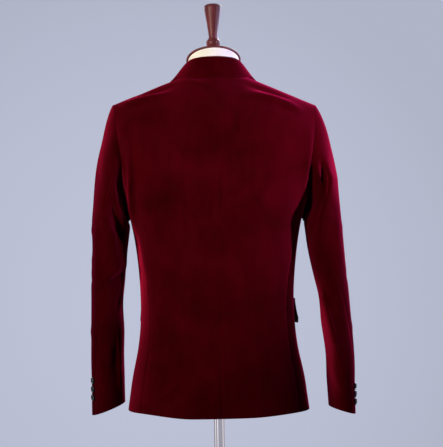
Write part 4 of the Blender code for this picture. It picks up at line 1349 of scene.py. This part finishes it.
def tube_mesh(path, radii, segments, closed=False):
    """Rings of points round a path."""
    ahead = np.roll(path, -1, axis=0) - np.roll(path, 1, axis=0)
    if not closed:
        ahead[0] = path[1] - path[0]
        ahead[-1] = path[-1] - path[-2]
    ahead = unit(ahead)
    side = unit(np.cross(ahead, ASKEW))
    over = np.cross(side, ahead)
    angles = np.arange(segments) * 2 * math.pi / segments
    rings = []
    for point, right, top, radius in zip(path, side, over, radii):
        rings.append(point + radius * (np.outer(np.cos(angles), right) + np.outer(np.sin(angles), top)))
    return np.array(rings)


def sewn_button(node, seat, radius):
    """Button with a rim and a dish, four holes and the thread that crosses between them."""
    verts = []
    faces = []

    def take(rings):
        first = sum(len(ring) for ring in verts)
        faces.extend(ring_faces(len(rings), rings.shape[1], first))
        verts.append(rings.reshape(-1, 3))

    profile = dict(radius=BUTTON_PROFILE["radius"] * radius, height=BUTTON_PROFILE["height"] * BUTTON_HEIGHT)
    take(lathe(profile, BUTTON_SEGMENTS, BUTTON_DETAIL))
    dish = profile["height"][-1]
    hole = dict(
        radius=HOLE_RIM["radius"] * HOLE_RADIUS * radius,
        height=dish + HOLE_RIM["height"] * BUTTON_HEIGHT,
    )
    offset = HOLE_OFFSET * radius
    for x in (-offset, offset):
        for y in (-offset, offset):
            take(lathe(hole, HOLE_SEGMENTS) + (x, y, 0))
    thread_from = len(faces)
    share = np.linspace(-1, 1, THREAD_STEPS)
    reach = offset * math.sqrt(2) * share
    for turn, crossing in ((math.pi / 4, 0), (3 * math.pi / 4, THREAD_CROSSING)):
        arch = (THREAD_ARCH + crossing) * (1 - share**2) + THREAD_FOOT
        rise = dish + THREAD_RADIUS * radius * arch
        path = stack(reach * math.cos(turn), reach * math.sin(turn), rise)
        take(tube_mesh(path, np.full(len(path), THREAD_RADIUS * radius), THREAD_SIDES))
    kinds = np.zeros(len(faces), dtype=np.int32)
    kinds[thread_from:] = 1
    points = placed(np.concatenate(verts), seat)
    finishes = (button_gloss(), sewing_thread())
    piece = put(f"sewn_{node}", settled(points), faces, finishes, kinds)
    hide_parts(node)


def button_seat(point, normal, gap):
    """Place of a button that lies flat on the cloth."""
    seat = Vector(point) + Vector(normal) * gap
    turn = Vector((0, 0, 1)).rotation_difference(Vector(normal))
    return Matrix.Translation(seat) @ turn.to_matrix().to_4x4()


class BlazerCloth(bpy.types.PropertyGroup):
    """Sizes and colours of the velvet"""

    thickness: FloatProperty(
        name="Cloth", description="Thickness of the velvet", default=0.002, unit="LENGTH"
    )
    seam_depth: FloatProperty(
        name="Seam depth", description="Dip of the cloth at a seam", default=0.0010, unit="LENGTH"
    )
    seam_width: FloatProperty(
        name="Seam width", description="Reach of that dip", default=0.0032, unit="LENGTH"
    )
    crease_share: FloatProperty(
        name="Creases", description="Share of the creases' own heights", default=1.4, subtype="FACTOR"
    )
    wave_height: FloatProperty(
        name="Waves", description="Height of slow waves in the cloth", default=0.0004, unit="LENGTH"
    )
    pile_dark: FloatVectorProperty(
        name="Pile, dark", description="Darkest tone of the pile",
        default=(0.024, 0.0003, 0.0010), subtype="COLOR",
    )
    pile_light: FloatVectorProperty(
        name="Pile, light", description="Lightest tone of the pile",
        default=(0.048, 0.0004, 0.0026), subtype="COLOR",
    )
    # Painted sheen: the colour painted onto the pile where it is seen edge on
    pile_edge: FloatVectorProperty(
        name="Pile, edge on", description="Tone of the pile seen from its side",
        default=(0.155, 0.003, 0.015), subtype="COLOR",
    )
    weave_colour: FloatVectorProperty(
        name="Wrong side", description="Weave on the wrong side",
        default=(0.06, 0.004, 0.010), subtype="COLOR",
    )
    sheen_colour: FloatVectorProperty(
        name="Sheen", description="Colour of the pile at its edges",
        default=(0.48, 0.010, 0.080), subtype="COLOR",
    )
    sheen_weight: FloatProperty(
        name="Sheen weight", description="Strength of the sheen", default=1.0, subtype="FACTOR"
    )
    sheen_roughness: FloatProperty(
        name="Sheen roughness", description="Spread of the sheen", default=0.30, subtype="FACTOR"
    )


class BlazerTrim(bpy.types.PropertyGroup):
    """Colours of the buttons and the thread"""

    button_colour: FloatVectorProperty(
        name="Buttons", description="Colour of the buttons",
        default=(0.008, 0.008, 0.010), subtype="COLOR",
    )
    thread_colour: FloatVectorProperty(
        name="Thread", description="Colour of the sewing thread",
        default=(0.045, 0.002, 0.006), subtype="COLOR",
    )


class BlazerStand(bpy.types.PropertyGroup):
    """Colours of the dress form and its stand"""

    linen_colour: FloatVectorProperty(
        name="Cover", description="Colour of the form's cover",
        default=(0.91, 0.89, 0.87), subtype="COLOR",
    )
    wood_dark: FloatVectorProperty(
        name="Wood, dark", description="Darkest tone of the wood",
        default=(0.055, 0.0080, 0.0095), subtype="COLOR",
    )
    wood_light: FloatVectorProperty(
        name="Wood, light", description="Lightest tone of the wood",
        default=(0.170, 0.032, 0.040), subtype="COLOR",
    )
    chrome_colour: FloatVectorProperty(
        name="Pole", description="Colour of the pole",
        default=(0.78, 0.72, 0.70), subtype="COLOR",
    )
    base_colour: FloatVectorProperty(
        name="Base", description="Colour of the base",
        default=(0.018, 0.018, 0.020), subtype="COLOR",
    )


class BlazerStage(bpy.types.PropertyGroup):
    """Camera, backdrop and lights"""

    camera_distance: FloatProperty(
        name="Distance", description="Camera to the form's axis", default=3.1, unit="LENGTH"
    )
    camera_height: FloatProperty(
        name="Height", description="Camera over the floor", default=1.126, unit="LENGTH"
    )
    camera_offset: FloatProperty(
        name="Offset", description="Camera to its right", default=0.0112, unit="LENGTH"
    )
    camera_yaw: FloatProperty(
        name="Yaw", description="Camera round the form", default=math.radians(3.0), subtype="ANGLE"
    )
    camera_roll: FloatProperty(
        name="Roll", description="Camera about its own axis", default=math.radians(0.9), subtype="ANGLE"
    )
    lens: FloatProperty(name="Lens", description="Focal length in millimetres", default=118.9)
    backdrop_colour: FloatVectorProperty(
        name="Backdrop", description="Colour of the backdrop",
        default=(0.455, 0.482, 0.603), subtype="COLOR",
    )
    floor_colour: FloatVectorProperty(
        name="Floor", description="Colour of the floor",
        default=(0.62, 0.64, 0.70), subtype="COLOR",
    )
    floor_radius: FloatProperty(
        name="Floor radius", description="Radius of the floor", default=1.6, unit="LENGTH"
    )
    ambient_share: FloatProperty(
        name="Ambient", description="Share of the backdrop's light that fills the shadows",
        default=0.02, subtype="FACTOR",
    )
    light_strength: FloatProperty(
        name="Lights", description="Share of the lights' own power", default=1.0, subtype="FACTOR"
    )


class BLAZER_OT_body(bpy.types.Operator):
    """Back, side and front panels of the blazer"""

    bl_idname = "blazer.body"
    bl_label = "Body panels"

    def execute(self, context):
        rows = steps(PANEL_ROWS)
        all_rows = np.concatenate([rows, 1 + steps(SHOULDER_ROWS)[1:]])
        neck_share = NECK_POINT_X / BACK_ARMHOLE["x"][-1]
        neck_columns = BACK_COLUMNS // 3
        inner = np.sin(np.linspace(0, math.pi / 2, neck_columns + 1)) * neck_share
        outer = np.linspace(neck_share, 1, BACK_COLUMNS - neck_columns + 1)[1:]
        back_across = np.concatenate([inner, outer])

        def tuck(points, across, up):
            return -LAP_TUCK * ease((LAP_OUTER_X + points[..., 0]) / (LAP_OUTER_X - LAP_INNER_X))

        common = dict(hems="first", turn_up="first", relief=body_relief, hang=hem_swing)
        for name, side in SIDES:
            cloth(f"back_{name}", back_panel, back_across, all_rows, side, "start end last", **common)
            # Each side panel takes its own painted light and shade: lighter on the left, where the key light
            # falls, darker on the right
            cloth(
                f"side_{name}", side_panel, steps(SIDE_COLUMNS), rows, side, "start end last",
                painted_light_key=f"side_{name}", **common,
            )
            common_front = dict(common, hems="first end", lift=tuck if side < 0 else None)
            cloth(
                f"front_{name}", front_panel, steps(FRONT_COLUMNS), all_rows, side, "start last",
                **common_front,
            )
        return {"FINISHED"}


class BLAZER_OT_lapels(bpy.types.Operator):
    """Lapels, turned back over the fronts"""

    bl_idname = "blazer.lapels"
    bl_label = "Lapels"

    def execute(self, context):
        thickness = context.scene.blazer_cloth.thickness

        def lift(points, across, up):
            return LAID_GAP + thickness + LAPEL_ROLL * (1 - across) ** 2

        for name, side in SIDES:
            cloth(
                f"lapel_{name}", lapel_surface(name), steps(LAPEL_COLUMNS), steps(LAPEL_ROWS), side,
                hems=ALL_EDGES, lift=lift, relief=body_relief,
                held="folded", rests_on=[f"cloth_front_{name}"],
            )
        return {"FINISHED"}


class BLAZER_OT_collar(bpy.types.Operator):
    """Collar leaf and the stand under it"""

    bl_idname = "blazer.collar"
    bl_label = "Collar"

    def execute(self, context):
        stand = np.linspace(-STAND_END, STAND_END, COLLAR_COLUMNS + 1)
        leaf = np.linspace(-COLLAR_END, COLLAR_END, COLLAR_COLUMNS + 1)
        backs = ["cloth_back_left", "cloth_back_right"]
        cloth("collar_stand", stand_surface, stand, steps(STAND_ROWS), held="folded", rests_on=backs)
        cloth("collar", leaf_surface, leaf, steps(LEAF_ROWS), hems=ALL_EDGES, held="folded", rests_on=backs)
        return {"FINISHED"}


class BLAZER_OT_flaps(bpy.types.Operator):
    """Pocket flaps on the side fronts"""

    bl_idname = "blazer.flaps"
    bl_label = "Pocket flaps"

    def execute(self, context):
        thickness = context.scene.blazer_cloth.thickness
        across = np.sin(np.linspace(0, math.pi / 2, FLAP_COLUMNS + 1)) ** 2
        for name, side in SIDES:

            def lift(points, across, up, flare=FLAP_FLARE[name]):
                return LAID_GAP + thickness + flare * (1 - up) ** FLAP_FLARE_POWER

            cloth(
                f"flap_{name}", flap_surface(FLAP_BACK_ANGLE[name]), across, steps(FLAP_ROWS), side,
                hems=ALL_EDGES, lift=lift, relief=body_relief, held="hung", rests_on=[f"cloth_front_{name}"],
            )
        return {"FINISHED"}


class BLAZER_OT_sleeves(bpy.types.Operator):
    """Top and under sleeves"""

    bl_idname = "blazer.sleeves"
    bl_label = "Sleeves"

    def execute(self, context):
        along = np.concatenate([steps(CAP_ROWS), 1 + steps(TUBE_ROWS)[1:]])
        top = LOOP_BACK + LOOP_END - FOREARM_SEAM
        under = FOREARM_SEAM - LOOP_BACK
        spans = {
            "top_sleeve": np.linspace(LOOP_BACK - top, LOOP_BACK, LOOP_COLUMNS * top + 1),
            "under_sleeve": np.linspace(LOOP_BACK, FOREARM_SEAM, LOOP_COLUMNS * under + 1),
        }
        for name, sleeve in SLEEVES.items():

            def middle(points, rings=sleeve["rings"]):
                return sleeve_axis(rings, points)

            for piece, span in spans.items():
                # Each sleeve piece takes its own painted light and shade, by height
                cloth(
                    f"{piece}_{name}", sleeve_surface(sleeve), span, along, sleeve["side"], "start end",
                    hems="last", turn_up="last", relief=sleeve_relief(name), middle=middle, held="hung",
                    rests_on=[f"cloth_back_{name}", f"cloth_front_{name}"], painted_light_key=f"{piece}_{name}",
                )
        return {"FINISHED"}


class BLAZER_OT_buttons(bpy.types.Operator):
    """Cuff buttons, front button and its buttonhole"""

    bl_idname = "blazer.buttons"
    bl_label = "Buttons"

    def execute(self, context):
        for name, sleeve in SLEEVES.items():
            surface = sleeve_surface(sleeve)
            rings = sleeve["rings"]
            mirror = np.array((sleeve["side"], 1, 1))
            for number, height in enumerate(sleeve["button_z"], start=1):
                along = 1 + (height - rings["z"][-1]) / (rings["z"][0] - rings["z"][-1])
                turn = sleeve["seam_turn"] * ease(along - 1)
                loop = np.interp(sleeve["button_angle"] + turn, LOOP_ANGLES, LOOP_SAMPLES)
                place = np.array(loop), np.array(along)
                point = surface(*place)
                normal = normals_of(surface, *place)
                normal *= np.sign(normal @ (point - sleeve_axis(rings, point)))
                seat = button_seat(point * mirror, normal * mirror, CUFF_BUTTON_GAP)
                sewn_button(f"cuff_button_{name}_{number}", seat, CUFF_BUTTON_RADIUS)
        place = np.zeros(()), np.array(FRONT_BUTTON_Z)
        normal = normals_of(front_face, *place)
        seat = button_seat(front_face(*place), normal * np.sign(-normal[1]), FRONT_BUTTON_GAP)
        sewn_button("front_button", seat, FRONT_BUTTON_RADIUS)
        self.buttonhole()
        return {"FINISHED"}

    def buttonhole(self):
        """Stitched edge of the buttonhole, a long loop laid on the left front."""
        count = BUTTONHOLE_STITCHES * BUTTONHOLE_STITCH_STEPS
        turn = np.arange(count) * 2 * math.pi / count
        half = BUTTONHOLE_LENGTH / 2
        swing = np.cos(turn)
        x = BUTTONHOLE_START_X + half + half * np.sign(swing) * np.abs(swing) ** BUTTONHOLE_SQUARENESS
        z = FRONT_BUTTON_Z + BUTTONHOLE_HALF_WIDTH * np.sin(turn)
        points = front_face(x, z)
        normals = normals_of(front_face, x, z)
        normals *= np.sign(-normals[..., 1:2])
        points = points + normals * body_relief(points, normals)[..., None]
        stitch = np.arange(count) % BUTTONHOLE_STITCH_STEPS / BUTTONHOLE_STITCH_STEPS
        radii = BUTTONHOLE_THREAD * (STITCH_WAIST + (1 - STITCH_WAIST) * np.sin(math.pi * stitch))
        rings = tube_mesh(points, radii, THREAD_SIDES, closed=True)
        index = np.arange(count * THREAD_SIDES).reshape(count, THREAD_SIDES)
        faces = np.concatenate([band(*pair) for pair in zip(index, np.roll(index, -1, axis=0))])
        put("buttonhole_stitches", rings.reshape(-1, 3), faces.tolist(), (sewing_thread(),))


class BLAZER_OT_form(bpy.types.Operator):
    """Dress form in its white cover"""

    bl_idname = "blazer.form"
    bl_label = "Dress form"

    def execute(self, context):
        angles = (np.arange(FORM_COLUMNS) + 0.5) * 2 * math.pi / FORM_COLUMNS
        lower = np.linspace(FORM_BOTTOM_Z + FORM_EDGE_ROUND, FORM_ARCH_Z, FORM_LOWER_ROWS)
        upper = np.linspace(FORM_ARCH_Z, FORM_TOP_Z, FORM_UPPER_ROWS)[1:]
        rings = [form_ring(z, angles) for z in (*lower, *upper)]
        foot = rings[0] * (FORM_FOOT_SHARE, FORM_FOOT_SHARE, 1) - (0, 0, FORM_EDGE_ROUND)
        neck = [neck_ring(share, angles) for share in steps(NECK_ROWS)]
        rings = settled(np.array([foot, *rings, *neck]))
        faces = ring_faces(len(rings), FORM_COLUMNS)
        piece = put("linen_form", rings.reshape(-1, 3), faces, (linen_cover(),))
        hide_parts("form_body")
        return {"FINISHED"}


class BLAZER_OT_stand(bpy.types.Operator):
    """Neck cap, finial, pole and base"""

    bl_idname = "blazer.stand"
    bl_label = "Cap, finial and stand"

    def execute(self, context):
        tilt = Matrix.Rotation(NECK_TILT, 4, "X")
        neck_top = Vector((0, NECK_CENTRE_Y, NECK_TOP_Z))
        seat = Matrix.Translation(neck_top + tilt @ Vector((0, 0, SEAT_GAP))) @ tilt
        rim = CAP_HEIGHT / 3
        cap = dict(radius=CAP_RADIUS - CAP_RIM["inset"] * rim, height=CAP_RIM["height"] * rim)
        self.turned("wood_cap", "neck_cap", cap, CAP_GRID, seat, stained_wood(), "dark_wood")
        finial_z = NECK_TOP_Z + (CAP_HEIGHT + 2 * SEAT_GAP) / math.cos(NECK_TILT)
        place = Matrix.Translation((0, NECK_CENTRE_Y, finial_z))
        slant = math.tan(NECK_TILT)
        self.turned("wood_finial", "finial", FINIAL, FINIAL_GRID, place, stained_wood(), "dark_wood", slant)
        foot = BASE["height"][-1] + SEAT_GAP
        pole = table("radius height", (POLE_RADIUS, foot), (POLE_RADIUS, FORM_BOTTOM_Z - SEAT_GAP))
        self.turned("chrome_pole", "pole", pole, POLE_GRID, Matrix(), polished_chrome(), "chrome")
        self.turned("painted_base", "base", BASE, BASE_GRID, Matrix(), base_paint(), "base_black")
        return {"FINISHED"}

    def turned(self, name, node, profile, grid, place, made_of, slot, slant=0.0):
        """A turned piece, its foot cut at a slant where it stands on one."""
        segments, detail = grid
        rings = lathe(profile, segments, detail)
        rings[0, :, 2] += slant * rings[0, :, 1]
        faces = ring_faces(len(rings), segments)
        piece = put(name, placed(rings.reshape(-1, 3), place), faces, (made_of,))
        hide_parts(node)


class BLAZER_OT_stage(bpy.types.Operator):
    """Camera, floor, backdrop and soft lights"""

    bl_idname = "blazer.stage"
    bl_label = "Studio"

    BACKDROP_MIDDLE = (-0.01, -0.998, -0.05)
    # Tone of the backdrop by how near a direction is to its middle
    BACKDROP_TONES = ((0.975, 0.95), (0.9995, 1.13))
    FLOOR_THICKNESS = 0.012
    # Name, place, point it is turned to, width and height, spread of its beam in degrees, power and colour
    LIGHTS = (
        ("key_softbox", (2.2, 2.2, 1.62), (0, 0, 1.25), (0.6, 0.6), 60, 11.6, (1.0, 0.92, 0.74)),
        ("right_softbox", (-2.9, 1.3, 1.55), (-0.20, 0.04, 1.26), (0.3, 0.3), 16, 2.0, (0.76, 0.68, 1.0)),
        ("right_rim", (-2.4, -1.8, 1.7), (-0.2, 0, 1.33), (0.5, 0.9), 22, 2.4, (0.60, 0.68, 1.0)),
        ("left_rim", (1.6, -2.6, 1.9), (0, 0, 1.2), (0.5, 1.4), 70, 2.6, (1.0, 0.96, 0.93)),
        ("front_softbox", (-1.1, -2.9, 2.7), (0, 0, 1.1), (0.8, 0.8), 70, 10.0, (1.0, 0.96, 0.90)),
    )
    # Lights below the hem: those over the floor, and those that the pole mirrors. Each set shares its height,
    # and its size, spread, power and colour.
    FLOOR_WASH = ((0.85, 0.85), (-0.85, 0.85), (0.85, -0.85), (-0.85, -0.85))
    FLOOR_WASH_Z = 0.66
    FLOOR_WASH_LIGHT = ((1.4, 1.4), 150, 3.8, (1.0, 0.99, 0.97))
    POLE_STRIPS = ((0.50, 0.62), (-0.80, 0.08), (-0.50, -0.62), (0.80, -0.08))
    POLE_STRIP_Z = 0.36
    POLE_STRIP_LIGHT = ((0.5, 0.6), 30, 0.045, (1.0, 0.94, 0.90))

    def execute(self, context):
        stage = context.scene.blazer_stage
        self.camera(context.scene, stage)
        self.floor(stage)
        self.backdrop(context.scene, stage)
        for name, place, aim, size, spread, power, colour in self.lamps():
            self.light(context.scene, name, place, aim, size, spread, power * stage.light_strength, colour)
        context.scene.view_settings.view_transform = "Standard"
        return {"FINISHED"}

    def lamps(self):
        """Rows of all the lights."""
        yield from self.LIGHTS
        for number, (x, y) in enumerate(self.FLOOR_WASH, start=1):
            place = (x, y, self.FLOOR_WASH_Z)
            yield f"floor_wash_{number}", place, (x, y, 0), *self.FLOOR_WASH_LIGHT
        for number, (x, y) in enumerate(self.POLE_STRIPS, start=1):
            place = (x, y, self.POLE_STRIP_Z)
            aim = (0, 0, self.POLE_STRIP_Z)
            yield f"pole_strip_{number}", place, aim, *self.POLE_STRIP_LIGHT

    def camera(self, scene, stage):
        data = bpy.data.cameras.new("photo_camera")
        camera = bpy.data.objects.new("photo_camera", data)
        scene.collection.objects.link(camera)
        data.lens = stage.lens
        yaw = stage.camera_yaw
        back = Vector((math.sin(yaw), math.cos(yaw), 0))
        right = Vector((-math.cos(yaw), math.sin(yaw), 0))
        place = back * stage.camera_distance + right * stage.camera_offset
        place.z = stage.camera_height
        turn = Matrix((right, Vector((0, 0, 1)), back)).transposed().to_4x4()
        camera.matrix_world = Matrix.Translation(place) @ turn @ Matrix.Rotation(-stage.camera_roll, 4, "Z")
        scene.camera = camera

    def floor(self, stage):
        radius = stage.floor_radius
        disc = table("radius height", (radius, -self.FLOOR_THICKNESS), (radius, 0.0))
        rings = lathe(disc, FLOOR_SEGMENTS)
        mesh = bpy.data.meshes.new("studio_floor")
        mesh.from_pydata([tuple(p) for p in rings.reshape(-1, 3)], [], ring_faces(2, FLOOR_SEGMENTS))
        mesh.materials.append(pale_floor())
        floor = bpy.data.objects.new("studio_floor", mesh)
        bpy.context.scene.collection.objects.link(floor)
        floor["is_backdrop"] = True

    def backdrop(self, scene, stage):
        scene.world = bpy.data.worlds.new("studio_backdrop")
        scene.world.use_nodes = True
        tree = scene.world.node_tree
        fill = tree.nodes["Background"]
        fill.inputs["Color"].default_value = (*stage.backdrop_colour, 1)
        fill.inputs["Strength"].default_value = stage.ambient_share
        way = add(tree, "ShaderNodeTexCoord").outputs["Generated"]
        ahead = add(tree, "ShaderNodeVectorMath", operation="DOT_PRODUCT")
        tree.links.new(way, ahead.inputs[0])
        ahead.inputs[1].default_value = self.BACKDROP_MIDDLE
        stops = [(near, shaded(stage.backdrop_colour, share)) for near, share in self.BACKDROP_TONES]
        paper = ramp(tree, ahead.outputs["Value"], *stops)
        seen = add(tree, "ShaderNodeBackground", {"Color": paper})
        ray = add(tree, "ShaderNodeLightPath").outputs
        mirrored = math_node(tree, "MAXIMUM", ray["Is Camera Ray"], ray["Is Glossy Ray"])
        mix = add(tree, "ShaderNodeMixShader", {"Fac": mirrored})
        tree.links.new(fill.outputs["Background"], mix.inputs[1])
        tree.links.new(seen.outputs["Background"], mix.inputs[2])
        tree.links.new(mix.outputs["Shader"], tree.nodes["World Output"].inputs["Surface"])

    def light(self, scene, name, place, aim, size, spread, power, colour):
        data = bpy.data.lights.new(name, "AREA")
        data.shape = "RECTANGLE"
        data.size, data.size_y = size
        data.energy = power
        data.color = colour
        data.spread = math.radians(spread)
        lamp = bpy.data.objects.new(name, data)
        scene.collection.objects.link(lamp)
        turn = (Vector(aim) - Vector(place)).to_track_quat("-Z", "Y").to_matrix().to_4x4()
        lamp.matrix_world = Matrix.Translation(place) @ turn


OPERATORS = (
    BLAZER_OT_stage,
    BLAZER_OT_body,
    BLAZER_OT_lapels,
    BLAZER_OT_collar,
    BLAZER_OT_flaps,
    BLAZER_OT_sleeves,
    BLAZER_OT_buttons,
    BLAZER_OT_form,
    BLAZER_OT_stand,
)
GROUPS = {
    "blazer_cloth": BlazerCloth,
    "blazer_trim": BlazerTrim,
    "blazer_stand": BlazerStand,
    "blazer_stage": BlazerStage,
}


class BLAZER_PT_panel(bpy.types.Panel):
    """Sizes and colours, and the steps that build the piece"""

    bl_idname = "BLAZER_PT_panel"
    bl_label = "Blazer"
    bl_space_type = "VIEW_3D"
    bl_region_type = "UI"
    bl_category = "Blazer"

    def draw(self, context):
        for name, group in GROUPS.items():
            box = self.layout.box()
            for prop in group.__annotations__:
                box.prop(getattr(context.scene, name), prop)
        for operator in OPERATORS:
            self.layout.operator(operator.bl_idname)


CLASSES = (*GROUPS.values(), *OPERATORS, BLAZER_PT_panel)


def register():
    for made in CLASSES:
        bpy.utils.register_class(made)
    for name, group in GROUPS.items():
        setattr(bpy.types.Scene, name, PointerProperty(type=group))


def unregister():
    for name in GROUPS:
        delattr(bpy.types.Scene, name)
    for made in reversed(CLASSES):
        bpy.utils.unregister_class(made)


def main():
    register()
    for operator in OPERATORS:
        group, name = operator.bl_idname.split(".")
        getattr(getattr(bpy.ops, group), name)()
    boxes = {"cad": CAD_BOX, "visual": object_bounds()}
    {name: [list(corner) for corner in box] for name, box in boxes.items()}


if __name__ == "__main__":
    main()
